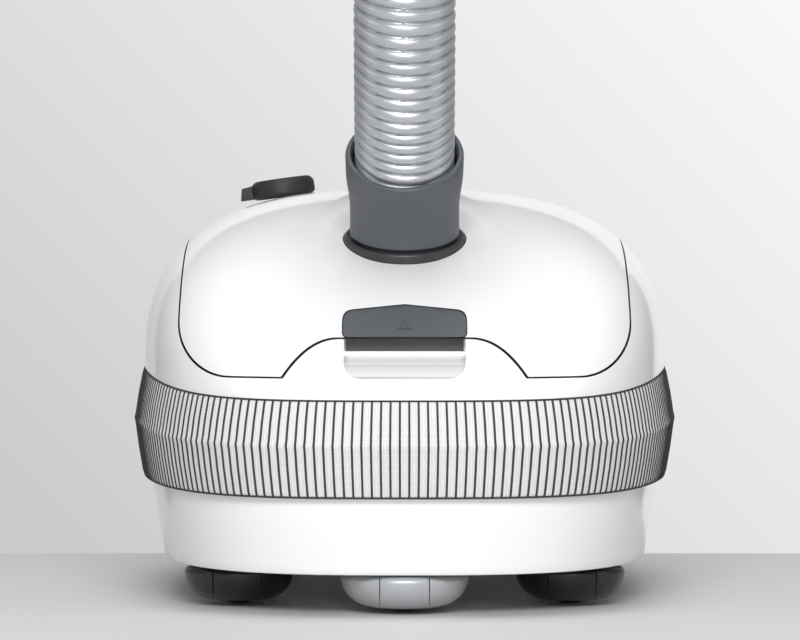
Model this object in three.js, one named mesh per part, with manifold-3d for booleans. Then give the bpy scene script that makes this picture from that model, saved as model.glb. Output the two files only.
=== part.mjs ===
// A canister vacuum cleaner: two-part casing with a textile bumper belt, hinged lid with a swivelling
// hose elbow, corrugated hose with its handle, suction motor, cord reel and five swivelling castors.
// Millimetres, +Z up, front towards -Y. The origin is on the floor under the middle of the casing.
import * as THREE from 'three';
import { mergeVertices } from 'three/addons/utils/BufferGeometryUtils.js';
import Module from 'manifold-3d';

const wasm = await Module();
wasm.setup();

// ---- driving dimensions -------------------------------------------------------------------------
const CLEARANCE = 0.4;
const WALL = 3;
const FRONT_Y = -200;
const PLAN_CENTRE_Y = 30;
const PLAN_POWER = 2.8;
const RIDGE = { half: 142.5, front: 230, rear: 170 };
const BELT = { bottomZ: 58.7, ridgeZ: 83.9, topZ: 105.7, edgeInset: 5, depth: 7 };
const BELT_RISE = { bottom: 4, ridge: 8, top: 12, length: 170 };
const FLOOR_EDGE_Z = 20;
const FLOOR_PLATE_Z = 36;
const FLOOR_EDGE_INSET = 15;
const CREST = { y: 70, z: 212 };
const DOME_POWER = { side: 2.75, front: 1.5, rear: 2.3 };
const DOME_RINGS = [1, 0.98, 0.93, 0.85, 0.74, 0.59, 0.39, 0.12];
const PLAN_STEPS = 28;
const LID = { half: 113.8, bottomZ: 117, corner: 27, rearY: 68, notchHalf: 60, notchFlat: 32, notchZ: 136 };
const HINGE = { y: 69.6, z: 209, radius: 2.7, pin: 1.1, half: 46 };
const BUTTON = { half: 30.5, bottomZ: 136.6, shoulderZ: 149, apexZ: 152 };
const PORT = { y: -70, z: 182.5, tilt: 19 * Math.PI / 180 };
const MOUTH = { y: -97, z: 229, radius: 30.2, socket: 27 };
const HOSE = { radius: 25.5, bore: 21 };
const KNOB = { x: -66.5, y: 96, z: 207.6, radius: 17.5, height: 11.5, tilt: -8 * Math.PI / 180 };
const REWIND = { x: 66, y: 128, radius: 15 };
const MOTOR = { y: 98, z: 108, shaft: 4 };
const REEL = { x: 82, y: 100, z: 92, radius: 36, width: 30 };
const OUTLET = { x: -60, y: 184, z: 48 };
const WHEEL = { radius: 14, width: 15.3, trail: 6, axle: 2, axleEnd: 13, facets: 14 };
const WHEEL_WELL = { half: 9.4, reach: 16.5, top: 30.6 };
const HOOD = { bottomZ: 2.2, rimZ: 17.4, plateZ: 34, stem: 4, stemTopZ: 52 };
const BOSS = { radius: 8, bore: 4.5, height: 18 };
const CASTORS = [
  { name: 'front_castor', x: 0, y: -152, radius: 32, colour: 0x8f9396 },
  { name: 'front_left_castor', x: -84, y: -105, radius: 28, colour: 0x221e1d },
  { name: 'front_right_castor', x: 84, y: -105, radius: 28, colour: 0x221e1d },
  { name: 'rear_left_castor', x: -80, y: 120, radius: 28, colour: 0x221e1d },
  { name: 'rear_right_castor', x: 80, y: 120, radius: 28, colour: 0x221e1d },
];

const machine = new THREE.Group();

// ---- materials ----------------------------------------------------------------------------------
function finish(colour, roughness, metalness = 0) {
  return { color: colour, roughness, metalness };
}
const GLOSS_WHITE = finish(0xf1f1f0, 0.15);
const GREY_PLASTIC = finish(0x5a5d62, 0.45);
const DARK_PLASTIC = finish(0x2c2c2e, 0.5);
const BLACK_PLASTIC = finish(0x201e1e, 0.4);
const SILVER_PLASTIC = finish(0xa9adb0, 0.3, 0.4);
const TEXTILE = finish(0xcfd0d1, 0.95);
const PAPER = finish(0xe9e4d6, 0.9);
const FOAM = finish(0x3a3d40, 0.95);
const RUBBER = finish(0x1b1b1c, 0.85);
const STEEL = finish(0xb7babd, 0.3, 0.9);
const COPPER = finish(0xb5713c, 0.35, 0.9);
const BOARD_GREEN = finish(0x2d6a45, 0.5);

// ---- solids -------------------------------------------------------------------------------------
function solidOf(geometry) {
  geometry.deleteAttribute('normal');
  geometry.deleteAttribute('uv');
  const merged = mergeVertices(geometry, 1e-4);
  const index = merged.index.array;
  const faces = [];
  for (let i = 0; i < index.length; i += 3) {
    const [a, b, c] = index.slice(i, i + 3);
    if (a !== b && b !== c && c !== a) faces.push(a, b, c);
  }
  return new wasm.Manifold(new wasm.Mesh({
    numProp: 3,
    vertProperties: new Float32Array(merged.attributes.position.array),
    triVerts: new Uint32Array(faces),
  }));
}

function geometryOf(solid) {
  const mesh = solid.getMesh();
  const geometry = new THREE.BufferGeometry();
  geometry.setAttribute('position', new THREE.BufferAttribute(new Float32Array(mesh.vertProperties), 3));
  geometry.setIndex(new THREE.BufferAttribute(new Uint32Array(mesh.triVerts), 1));
  return geometry;
}

function addPiece(name, solid, look) {
  const mesh = new THREE.Mesh(geometryOf(solid), new THREE.MeshStandardMaterial(look));
  mesh.name = name;
  machine.add(mesh);
  return mesh;
}

function box(x0, x1, y0, y1, z0, z1) {
  const geometry = new THREE.BoxGeometry(x1 - x0, y1 - y0, z1 - z0);
  geometry.translate((x0 + x1) / 2, (y0 + y1) / 2, (z0 + z1) / 2);
  return solidOf(geometry);
}

// A turned solid about local Z from (radius, height) points, moved by an optional matrix.
function turned(points, segments, matrix) {
  const profile = points.map(([r, z]) => new THREE.Vector2(r, z));
  const geometry = new THREE.LatheGeometry(profile, segments);
  geometry.rotateX(Math.PI / 2);
  if (matrix) geometry.applyMatrix4(matrix);
  const solid = solidOf(geometry);
  return solid.volume() < 0 ? solidOf(flipped(geometry)) : solid;
}

function flipped(geometry) {
  const index = geometry.index.array;
  for (let i = 0; i < index.length; i += 3) [index[i], index[i + 1]] = [index[i + 1], index[i]];
  return geometry;
}

function rod(radius, z0, z1, segments, matrix) {
  return turned([[0, z0], [radius, z0], [radius, z1], [0, z1]], segments, matrix);
}

function ring(inner, outer, z0, z1, segments, matrix) {
  return turned([[inner, z0], [outer, z0], [outer, z1], [inner, z1], [inner, z0]], segments, matrix);
}

// Local Z leaning by an angle about X (positive leans to the front) at a place.
function leaning(x, y, z, lean, sideways = 0) {
  const matrix = new THREE.Matrix4().makeRotationFromEuler(new THREE.Euler(lean, sideways, 0));
  return matrix.setPosition(x, y, z);
}
const upright = ({ x, y }) => leaning(x, y, 0, 0);
const alongX = (x, y, z) => new THREE.Matrix4().makeRotationY(Math.PI / 2).setPosition(x, y, z);
const alongY = (x, y, z) => new THREE.Matrix4().makeRotationX(-Math.PI / 2).setPosition(x, y, z);

// A closed solid through rings of equally many points, from the lowest ring to the highest.
function loft(rings) {
  const count = rings[0].length;
  const points = rings.flat();
  const middle = (list) => list.reduce((sum, p) => sum.add(p), new THREE.Vector3()).divideScalar(count);
  const faces = [];
  rings.slice(1).forEach((_, level) => {
    for (let i = 0; i < count; i++) {
      const [a, b] = [level * count + i, level * count + (i + 1) % count];
      faces.push(a, b, b + count, a, b + count, a + count);
    }
  });
  const [bottom, top] = [points.length, points.length + 1];
  const last = (rings.length - 1) * count;
  for (let i = 0; i < count; i++) {
    faces.push(bottom, (i + 1) % count, i, top, last + i, last + (i + 1) % count);
  }
  points.push(middle(rings[0]), middle(rings[rings.length - 1]));
  const geometry = new THREE.BufferGeometry();
  geometry.setAttribute('position', new THREE.Float32BufferAttribute(points.flatMap((p) => p.toArray()), 3));
  geometry.setIndex(faces);
  return solidOf(geometry);
}

// ---- casing outlines ----------------------------------------------------------------------------
function rise(y) {
  const t = THREE.MathUtils.clamp((y - FRONT_Y) / BELT_RISE.length, 0, 1);
  return t * t * (3 - 2 * t);
}

function rounded(value, power) {
  return Math.sign(value) * Math.abs(value) ** (2 / power);
}

// One plan outline at a base height, inset from the ridge, whose height climbs towards the sides.
function planRing(inset, z, climb = 0) {
  return Array.from({ length: PLAN_STEPS }, (_, i) => {
    const angle = (i + 0.5) / PLAN_STEPS * 2 * Math.PI;
    const length = (Math.sin(angle) < 0 ? RIDGE.front : RIDGE.rear) - inset;
    const y = PLAN_CENTRE_Y + rounded(Math.sin(angle), PLAN_POWER) * length;
    const x = rounded(Math.cos(angle), PLAN_POWER) * (RIDGE.half - inset);
    return new THREE.Vector3(x, y, z + climb * rise(y));
  });
}

// One ring of the domed top: share 1 is its edge above the belt and share 0 its crest.
function domeRing(share, inset) {
  return planRing(BELT.edgeInset + inset, BELT.topZ, BELT_RISE.top).map((edge, i) => {
    const angle = (i + 0.5) / PLAN_STEPS * 2 * Math.PI;
    const end = Math.sin(angle) < 0 ? DOME_POWER.front : DOME_POWER.rear;
    const power = THREE.MathUtils.lerp(DOME_POWER.side, end, Math.sin(angle) ** 2);
    const height = (1 - share ** power) ** (1 / power);
    const centre = THREE.MathUtils.lerp(CREST.y, PLAN_CENTRE_Y, share);
    return new THREE.Vector3(
      edge.x * share,
      centre + (edge.y - PLAN_CENTRE_Y) * share,
      THREE.MathUtils.lerp(edge.z, CREST.z - inset, height),
    );
  });
}

// The domed top as a full solid; an inner one starts lower, so that cutting it out leaves an open skirt.
function dome(inset) {
  const waist = BELT.edgeInset + BELT.depth + inset;
  const start = BELT.ridgeZ + (inset > 0 ? -12 : 0.3);
  return loft([
    planRing(waist, start, BELT_RISE.ridge),
    planRing(waist, BELT.topZ + 0.2 + inset / 3, BELT_RISE.top),
    ...DOME_RINGS.map((share) => domeRing(share, inset).map((p) => p.setZ(p.z + 0.6))),
  ]);
}

// A front-view outline in X and Z, run through from one Y to another.
function throughY(points, y0, y1) {
  const shape = new THREE.Shape(points.map(([x, z]) => new THREE.Vector2(x, z)));
  const geometry = new THREE.ExtrudeGeometry(shape, { depth: y1 - y0, bevelEnabled: false });
  geometry.rotateX(Math.PI / 2);
  geometry.translate(0, y1, 0);
  return solidOf(geometry);
}

function mirrored(points) {
  return [...points, ...points.slice().reverse().map(([x, z]) => [-x, z])];
}

function lidOutline(grow) {
  const corner = LID.corner;
  const arc = Array.from({ length: 7 }, (_, i) => {
    const angle = i / 6 * Math.PI / 2;
    return [
      LID.half + grow - corner + corner * Math.sin(angle),
      LID.bottomZ - grow + corner - corner * Math.cos(angle),
    ];
  });
  const notch = Array.from({ length: 6 }, (_, i) => {
    const t = i / 5;
    const x = THREE.MathUtils.lerp(LID.notchFlat, LID.notchHalf, t) - grow;
    return [x, LID.notchZ - grow - (LID.notchZ - LID.bottomZ) * t ** 2.2];
  });
  return mirrored([...notch, ...arc, [LID.half + grow, 260]]);
}

function buttonOutline(grow) {
  return mirrored([
    [BUTTON.half + grow - 2, BUTTON.bottomZ - grow],
    [BUTTON.half + grow, BUTTON.bottomZ - grow + 2],
    [BUTTON.half + grow, BUTTON.shoulderZ + grow - 2],
    [BUTTON.half + grow - 3, BUTTON.shoulderZ + grow + 0.4],
    [0.01, BUTTON.apexZ + grow],
  ]);
}

// ---- casing -------------------------------------------------------------------------------------
const outer = dome(0);
const domeWall = outer.subtract(dome(WALL));
const portFrame = leaning(0, PORT.y, PORT.z, PORT.tilt);
const PORT_HOLE = 31.9;

function castorBoss(castor) {
  return rod(BOSS.radius, FLOOR_PLATE_Z + 1, FLOOR_PLATE_Z + BOSS.height, 16, upright(castor));
}

function castorBore(castor) {
  return rod(BOSS.bore, FLOOR_PLATE_Z - 2, FLOOR_PLATE_Z + BOSS.height + 2, 16, upright(castor));
}

function lowerShell() {
  const climb = (z) => BELT_RISE.bottom * (z - FLOOR_EDGE_Z) / (BELT.bottomZ - FLOOR_EDGE_Z);
  const skin = loft([
    planRing(FLOOR_EDGE_INSET + 2, FLOOR_EDGE_Z),
    planRing(FLOOR_EDGE_INSET, FLOOR_EDGE_Z + 3),
    planRing(11.5, 38, climb(38)),
    planRing(9, BELT.bottomZ - 0.8, BELT_RISE.bottom),
    planRing(BELT.edgeInset + BELT.depth, BELT.bottomZ - 0.4, BELT_RISE.bottom),
    planRing(BELT.edgeInset + BELT.depth, BELT.ridgeZ - 0.3, BELT_RISE.ridge),
  ]);
  const inside = loft([
    planRing(18, FLOOR_PLATE_Z + WALL),
    planRing(16, BELT.bottomZ, 0),
    planRing(15, BELT.ridgeZ + 20, 0),
  ]);
  const underside = loft([
    planRing(FLOOR_EDGE_INSET + 5, FLOOR_EDGE_Z - 5),
    planRing(FLOOR_EDGE_INSET + 4, FLOOR_PLATE_Z),
  ]);
  let shell = skin.subtract(inside).subtract(underside);
  CASTORS.forEach((castor) => { shell = shell.add(castorBoss(castor)); });
  CASTORS.forEach((castor) => { shell = shell.subtract(castorBore(castor)); });
  const outletHole = rod(9, -14, 14, 20, alongY(OUTLET.x, OUTLET.y, OUTLET.z));
  addPiece('lower_shell', shell.subtract(outletHole), GLOSS_WHITE);
}



function upperShell() {
  const opening = throughY(lidOutline(CLEARANCE), FRONT_Y - 30, LID.rearY + CLEARANCE);
  const trough = box(-HINGE.half - 1, HINGE.half + 1, LID.rearY, HINGE.y + 3.4, CREST.z - 12, CREST.z + 9);
  const relief = box(-HINGE.half - 10, HINGE.half + 10, LID.rearY, HINGE.y - 0.4, CREST.z - 12, CREST.z + 9);
  const ledge = dome(WALL - 0.5).subtract(dome(WALL + 2.5))
    .intersect(throughY(lidOutline(6), FRONT_Y - 30, LID.rearY - 8))
    .subtract(throughY(lidOutline(CLEARANCE), FRONT_Y - 40, LID.rearY - 7))
    .intersect(box(-200, 200, -300, 100, LID.bottomZ - 3.5, 300));
  const recessHalf = BUTTON.half - 0.5;
  const pocketTop = LID.notchZ - CLEARANCE - 0.2;
  const pocket = box(-recessHalf - 2.5, recessHalf + 2.5, FRONT_Y - 30, -157.5, 113, pocketTop).intersect(outer);
  let shell = domeWall.subtract(opening).subtract(trough).subtract(relief);
  shell = shell.add(ledge);
  shell = shell.add(pocket);
  shell = shell.subtract(box(-recessHalf, recessHalf, FRONT_Y - 40, -160, 116.5, LID.notchZ + 4));
  [-1, 1].forEach((side) => {
    shell = shell.add(hingeKnuckle(side * 38, 7, HINGE.y - 0.5, HINGE.y + 6));
  });
  shell = shell.subtract(hingeBore());
  shell = shell.subtract(rod(5, -20, 10, 16, leaning(KNOB.x, KNOB.y, KNOB.z, 0, KNOB.tilt)));
  shell = shell.subtract(rod(REWIND.radius + CLEARANCE, 150, 230, 18, upright(REWIND)));
  addPiece('upper_shell', shell.subtract(latchSlot()), GLOSS_WHITE);
}

function hingeKnuckle(x, half, webY0, webY1) {
  const barrel = rod(HINGE.radius, -half, half, 16, alongX(x, HINGE.y, HINGE.z));
  return barrel.add(box(x - half, x + half, webY0, webY1, HINGE.z - 1.6, HINGE.z + 1.4));
}

function hingeBore() {
  return rod(HINGE.pin + 0.25, -HINGE.half - 5, HINGE.half + 5, 16, alongX(0, HINGE.y, HINGE.z));
}

function latchSlot() {
  return box(-9, 9, -166, -150, 118, LID.notchZ + 3);
}

function lid() {
  const panel = domeWall.intersect(throughY(lidOutline(-CLEARANCE), FRONT_Y - 30, LID.rearY));
  const trough = box(-HINGE.half, HINGE.half, HINGE.y - 3.2, LID.rearY + 5, CREST.z - 12, CREST.z + 9);
  let solid = panel.subtract(trough);
  [-1, 1].forEach((side) => {
    solid = solid.add(hingeKnuckle(side * 20, 10.5, HINGE.y - 6, HINGE.y));
  });
  solid = solid.subtract(hingeBore());
  solid = solid.subtract(rod(PORT_HOLE, -25, 15, 28, portFrame));
  solid = solid.subtract(throughY(buttonOutline(CLEARANCE), FRONT_Y - 30, -100));
  addPiece('lid', solid, GLOSS_WHITE);
}

function lidSeal() {
  const band = dome(WALL + 0.5).subtract(dome(WALL + 2.6))
    .intersect(throughY(lidOutline(-2), FRONT_Y - 30, LID.rearY - 10))
    .subtract(throughY(lidOutline(-6), FRONT_Y - 40, LID.rearY - 14));
  addPiece('lid_seal', band.subtract(box(-36, 36, -200, -130, 110, 156)), RUBBER);
}

function bumperBelt() {
  const back = BELT.edgeInset + BELT.depth - CLEARANCE;
  const outside = loft([
    planRing(BELT.edgeInset + 0.6, BELT.bottomZ, BELT_RISE.bottom),
    planRing(BELT.edgeInset - 0.4, BELT.bottomZ + 1, BELT_RISE.bottom),
    planRing(0, BELT.ridgeZ, BELT_RISE.ridge),
    planRing(BELT.edgeInset - 0.4, BELT.topZ - 1, BELT_RISE.top),
    planRing(BELT.edgeInset + 0.6, BELT.topZ, BELT_RISE.top),
  ]);
  const hollow = loft([planRing(back, BELT.bottomZ - 9), planRing(back, BELT.topZ + 20)]);
  addPiece('bumper_belt', outside.subtract(hollow), TEXTILE);
}

function hingePin() {
  const pin = rod(HINGE.pin, -HINGE.half + 1, HINGE.half - 1, 12, alongX(0, HINGE.y, HINGE.z));
  addPiece('lid_hinge_pin', pin, STEEL);
}

function latchButton() {
  const outline = throughY(buttonOutline(0), FRONT_Y - 30, -100);
  const plate = dome(-0.8).subtract(dome(WALL + 1)).intersect(outline);
  const hook = box(-7, 7, -158.5, -151, 121, 145).add(box(-7, 7, -158.5, -146, 141, 145));
  const guide = box(-14, 14, -158, -137, 140, 146).intersect(dome(WALL));
  addPiece('latch_button', plate.add(guide).add(hook), GREY_PLASTIC);
  addPiece('latch_spring', ring(2.2, 4, 0, 9, 14, alongY(0, -136.6, 143)), STEEL);
  const post = box(-12, 12, -127.2, -124.5, 137, 151).add(rod(1.8, -6, 1, 12, alongY(0, -127.2, 143)));
  const foot = box(-12, 12, -127.2, -118, 149, 200).intersect(dome(WALL + CLEARANCE));
  addPiece('latch_bracket', post.add(foot), DARK_PLASTIC);
}

// ---- hose swivel --------------------------------------------------------------------------------
function swivelCollar() {
  const profile = [[26, -16], [29, -16], [29, -10], [36, -10], [36, -6.4], [31.4, -6.4],
    [31.4, 4], [30.4, 4.8], [26, 4.8], [26, -16]];
  addPiece('swivel_collar', turned(profile, 28, portFrame), DARK_PLASTIC);
}

const ELBOW_SIDES = 20;
const BEND = { y: -78.8, z: 208 };
const NECK_RADIUS = 25.3;

function bentTube(radii, from, to) {
  const start = new THREE.Vector3(0, PORT.y, PORT.z).addScaledVector(leanAxis(PORT.tilt), 5.4);
  const end = new THREE.Vector3(0, MOUTH.y, MOUTH.z);
  const curve = new THREE.QuadraticBezierCurve3(start, new THREE.Vector3(0, BEND.y, BEND.z), end);
  const steps = radii.length - 1;
  return loft(radii.map((radius, i) => {
    const t = THREE.MathUtils.lerp(from, to, i / steps);
    const centre = curve.getPoint(THREE.MathUtils.clamp(t, 0, 1));
    const along = curve.getTangent(THREE.MathUtils.clamp(t, 0, 1));
    if (t > 1) centre.addScaledVector(along, (t - 1) * 45);
    const across = new THREE.Vector3(0, along.z, -along.y);
    return Array.from({ length: ELBOW_SIDES }, (_, k) => {
      const angle = (k + 0.5) / ELBOW_SIDES * 2 * Math.PI;
      return centre.clone()
        .add(new THREE.Vector3(radius * Math.cos(angle), 0, 0))
        .addScaledVector(across, radius * Math.sin(angle));
    });
  }));
}

function leanAxis(tilt) {
  return new THREE.Vector3(0, -Math.sin(tilt), Math.cos(tilt));
}

function swivelElbow() {
  const skin = bentTube([28.2, 28.2, 28.3, 29.2, 30, 30.2, 30.2], 0, 1);
  const neck = rod(NECK_RADIUS, -19, 7, ELBOW_SIDES, portFrame);
  const duct = rod(HOSE.bore, -30, 12, ELBOW_SIDES, portFrame);
  const passage = bentTube([HOSE.bore, HOSE.bore, 22, 22.6], 0.1, 0.58);
  const socket = bentTube([MOUTH.socket, MOUTH.socket, MOUTH.socket], 0.54, 1.3);
  addPiece('swivel_elbow', skin.add(neck).subtract(duct).subtract(passage).subtract(socket), GREY_PLASTIC);
  const retainer = ring(HOSE.bore + CLEARANCE, 28.5, -23, -19.4, ELBOW_SIDES, portFrame);
  addPiece('swivel_retainer', retainer, DARK_PLASTIC);
}

// ---- hose, its cuff and its handle --------------------------------------------------------------
const TAIL_END_Y = 598;
const CUFF_Z = 29;
const LOWER_LENGTH = 320;
const GRIP = { radius: 18, bore: 15, vent: 58 };

// The hose's line as Y and Z in the plane X = 0: out of the elbow, over the machine, down to the floor
// behind it and along the floor.
const HOSE_ROUTE = [
  [-90, 221], [-97, 229], [-111, 246], [-125, 263], [-138, 282], [-149, 302], [-164, 343], [-172, 399],
  [-165, 454], [-143, 506], [-109, 551], [-64, 585], [-12, 607], [43, 614], [99, 607], [151, 585], [195, 551],
  [229, 506], [251, 454], [258, 399], [258, 315], [258, 231], [265, 178], [286, 128], [318, 86], [361, 53],
  [410, 33], [463, 26], [503, 26], [568, CUFF_Z], [TAIL_END_Y, CUFF_Z],
];

function hoseRoute() {
  return HOSE_ROUTE.map(([y, z]) => new THREE.Vector3(0, y, z));
}

class Stretch extends THREE.Curve {
  constructor(line, from, to) {
    super();
    Object.assign(this, { line, from, to });
  }

  getPoint(t, target = new THREE.Vector3()) {
    return target.copy(this.line.getPointAt(THREE.MathUtils.lerp(this.from, this.to, t)));
  }
}

function tubeSection(outside, inside, sides) {
  const circle = (radius) => Array.from({ length: sides }, (_, i) => {
    const angle = i / sides * 2 * Math.PI;
    return new THREE.Vector2(radius * Math.cos(angle), radius * Math.sin(angle));
  });
  const section = new THREE.Shape(circle(outside));
  section.holes.push(new THREE.Path(circle(inside)));
  return section;
}

function hoseTube(name, line, from, to, steps) {
  const section = tubeSection(HOSE.radius, HOSE.bore, 10);
  const path = new Stretch(line, from, to);
  const geometry = new THREE.ExtrudeGeometry(section, { steps, extrudePath: path, bevelEnabled: false });
  addPiece(name, solidOf(geometry), SILVER_PLASTIC);
}

function hose() {
  const line = new THREE.CatmullRomCurve3(hoseRoute(), false, 'centripetal');
  line.arcLengthDivisions = 2000;
  const joinAt = LOWER_LENGTH / line.getLength();
  hoseTube('hose_lower', line, 0, joinAt, 9);
  hoseTube('hose_upper', line, joinAt + 0.0004, 1, 28);
}

function handle() {
  const cuff = [[26, -20], [27.6, -22], [28.6, -18], [28.2, 4], [25, 14], [22, 40], [18, 40], [20, 4],
    [20, 0.4], [26, 0.4], [26, -20]];
  const lift = CUFF_Z;
  addPiece('hose_cuff', turned(cuff, 18, alongY(0, TAIL_END_Y, lift)), DARK_PLASTIC);
  const grip = new THREE.CatmullRomCurve3([
    new THREE.Vector3(0, TAIL_END_Y + 41, lift), new THREE.Vector3(0, TAIL_END_Y + 62, lift),
    new THREE.Vector3(0, TAIL_END_Y + 84, lift), new THREE.Vector3(12, TAIL_END_Y + 126, lift - 3),
    new THREE.Vector3(34, TAIL_END_Y + 166, lift - 6), new THREE.Vector3(62, TAIL_END_Y + 205, lift - 8),
  ]);
  const bend = { steps: 11, extrudePath: grip, bevelEnabled: false };
  const tube = new THREE.ExtrudeGeometry(tubeSection(GRIP.radius, GRIP.bore, 16), bend);
  const ventY = TAIL_END_Y + GRIP.vent;
  const slot = box(-6, 6, ventY - 4, ventY + 8, lift + 5, lift + 30);
  addPiece('hose_handle', solidOf(tube).subtract(slot), GREY_PLASTIC);
  const saddle = ring(GRIP.radius + 0.6, GRIP.radius + 2.8, -12, 12, 28, alongY(0, ventY, lift))
    .intersect(box(-15, 15, ventY - 20, ventY + 20, lift + 8, lift + 40));
  const thumbRib = box(-5, 5, ventY - 4, ventY, lift + 19.5, lift + 23);
  addPiece('vent_slider', saddle.add(thumbRib), BLACK_PLASTIC);
}

// ---- controls -----------------------------------------------------------------------------------
function powerKnob() {
  const frame = leaning(KNOB.x, KNOB.y, KNOB.z, 0, KNOB.tilt);
  const top = KNOB.height;
  const disc = turned([[0, 1.2], [15.5, 1.2], [KNOB.radius, 3], [KNOB.radius, top - 2.2],
    [KNOB.radius - 2, top], [0, top]], 24, frame);
  const pointer = box(-KNOB.radius - 6.5, -KNOB.radius + 4, -4.5, 4.5, 2, top - 2.5);
  const shaft = rod(3, -24, 3, 16, frame);
  addPiece('power_knob', disc.add(moved(pointer, frame)).add(shaft), BLACK_PLASTIC);
  const body = ring(3.4, 9, -24, -9, 16, frame).subtract(dome(0).subtract(dome(WALL + 1)));
  addPiece('speed_potentiometer', body, DARK_PLASTIC);
}

function moved(solid, matrix) {
  const geometry = geometryOf(solid);
  geometry.applyMatrix4(matrix);
  return solidOf(geometry);
}

function rewindButton() {
  const column = rod(REWIND.radius, 150, 230, 18, upright(REWIND));
  const cap = dome(-2).subtract(dome(WALL)).intersect(column);
  const stem = rod(4, 178, 202, 16, upright(REWIND)).intersect(dome(WALL - 1));
  addPiece('rewind_button', cap.add(stem), GREY_PLASTIC);
  addPiece('rewind_spring', ring(4.6, 6.4, 164.5, 190, 16, upright(REWIND)), STEEL);
  const seat = rod(9, 160, 164, 20, upright(REWIND))
    .add(box(REWIND.x - 4, REWIND.x + 4, REWIND.y - 8, REWIND.y + 22, 158, 161));
  addPiece('rewind_bracket', seat, DARK_PLASTIC);
}

function controlBoard() {
  const board = box(-108, -104.4, 62, 122, 104, 160).add(box(-104.5, -98, 70, 84, 112, 126))
    .add(box(-104.5, -94, 94, 112, 130, 150));
  addPiece('control_board', board, BOARD_GREEN);
}

// ---- dust chamber -------------------------------------------------------------------------------
function partitionWall() {
  const half = 112;
  const outline = mirrored([[half, 42], [half, 150], [106, 166], [92, 178], [70, 185], [0.01, 187]]);
  const plate = throughY(outline, -2, 1);
  addPiece('partition_wall', plate.subtract(box(-45, 45, -5, 5, 62, 150)), DARK_PLASTIC);
  addPiece('motor_filter', box(-52, 52, -8.5, -2.4, 56, 156), FOAM);
}

const BAG_SIDES = 22;
// Height, half width and share of the depth at each level of the full bag.
const BAG_LEVELS = [
  [58, 62, 0.8], [64, 74, 0.93], [80, 84, 1], [105, 86, 1], [126, 78, 0.93], [135, 62, 0.8], [139, 44, 0.62],
];

function dustBag() {
  const frontLimit = (z) => THREE.MathUtils.mapLinear(z, 58, 139, -158, -114);
  const rings = BAG_LEVELS.map(([z, half, fill]) => {
    const [front, rear] = [frontLimit(z), -14];
    const middle = (front + rear) / 2;
    return Array.from({ length: BAG_SIDES }, (_, i) => {
      const angle = (i + 0.5) / BAG_SIDES * 2 * Math.PI;
      return new THREE.Vector3(
        rounded(Math.cos(angle), 3) * half,
        middle + rounded(Math.sin(angle), 3) * (rear - front) / 2 * fill,
        z,
      );
    });
  });
  addPiece('dust_bag', loft(rings), PAPER);
  addPiece('bag_collar', ring(20, 38, -27.6, -25, 24, portFrame), PAPER);
  const frame = box(-60, 60, -11.5, -9, 100, 160).subtract(box(-30, 30, -20, 0, 110, 150));
  addPiece('bag_carrier', frame, GREY_PLASTIC);
}

// ---- suction motor ------------------------------------------------------------------------------
function motor() {
  const M = alongY(0, MOTOR.y, MOTOR.z);
  const shroud = [[22, -58], [50, -58], [52, -56], [52, -24], [49.5, -24],
    [49.5, -55.5], [22, -55.5], [22, -58]];
  addPiece('fan_shroud', turned(shroud, 24, M), DARK_PLASTIC);
  const rotor = turned([[0, -54], [MOTOR.shaft, -54], [MOTOR.shaft, -50], [20, -50], [22, -48], [46, -44], [46, -34],
    [9, -34], [9, -31], [MOTOR.shaft, -31], [MOTOR.shaft, -14], [21, -14], [21, 16], [10, 16], [10, 30],
    [MOTOR.shaft, 30], [MOTOR.shaft, 46], [0, 46]], 18, M);
  addPiece('rotor', rotor, STEEL);
  const bracket = turned([[9.3, -28], [49, -28], [49, -25.6], [9.3, -25.6], [9.3, -28]], 24, M);
  addPiece('motor_bracket', bracket, STEEL);
  addPiece('front_bearing', ring(MOTOR.shaft + 0.35, 8.9, -29, -24, 16, M), STEEL);
  addPiece('stator', ring(22, 36, -16, 18, 24, M), COPPER);
  const can = turned([[37, -25], [39.5, -25], [39.5, 46], [9.3, 46], [9.3, 43.5], [37, 43.5], [37, -25]], 24, M);
  const brushHoles = box(-41, 41, MOTOR.y + 19, MOTOR.y + 27, MOTOR.z - 3.5, MOTOR.z + 3.5);
  addPiece('motor_can', can.subtract(brushHoles), STEEL);
  addPiece('rear_bearing', ring(MOTOR.shaft + 0.35, 8.9, 40, 45.6, 16, M), STEEL);
  [['left_brush', -1], ['right_brush', 1]].forEach(([name, side]) => {
    const [a, b] = [side * 10.6, side * 34].sort((p, q) => p - q);
    addPiece(name, box(a, b, MOTOR.y + 20, MOTOR.y + 26, MOTOR.z - 3, MOTOR.z + 3), DARK_PLASTIC);
  });
  addPiece('front_motor_mount', ring(53, 57, -46, -36, 24, M), RUBBER);
  addPiece('rear_motor_mount', ring(40, 44, 32, 42, 24, M), RUBBER);
  const cradle = box(-60, 60, MOTOR.y - 47, MOTOR.y - 35, FLOOR_PLATE_Z + WALL + CLEARANCE, MOTOR.z - 18)
    .subtract(rod(57.8, -60, -20, 24, M));
  addPiece('front_motor_cradle', cradle, DARK_PLASTIC);
  const rearCradle = box(-46, 40, MOTOR.y + 31, MOTOR.y + 43, FLOOR_PLATE_Z + WALL + CLEARANCE, MOTOR.z - 16)
    .subtract(rod(44.8, 20, 60, 24, M));
  addPiece('rear_motor_cradle', rearCradle, DARK_PLASTIC);
}

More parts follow.
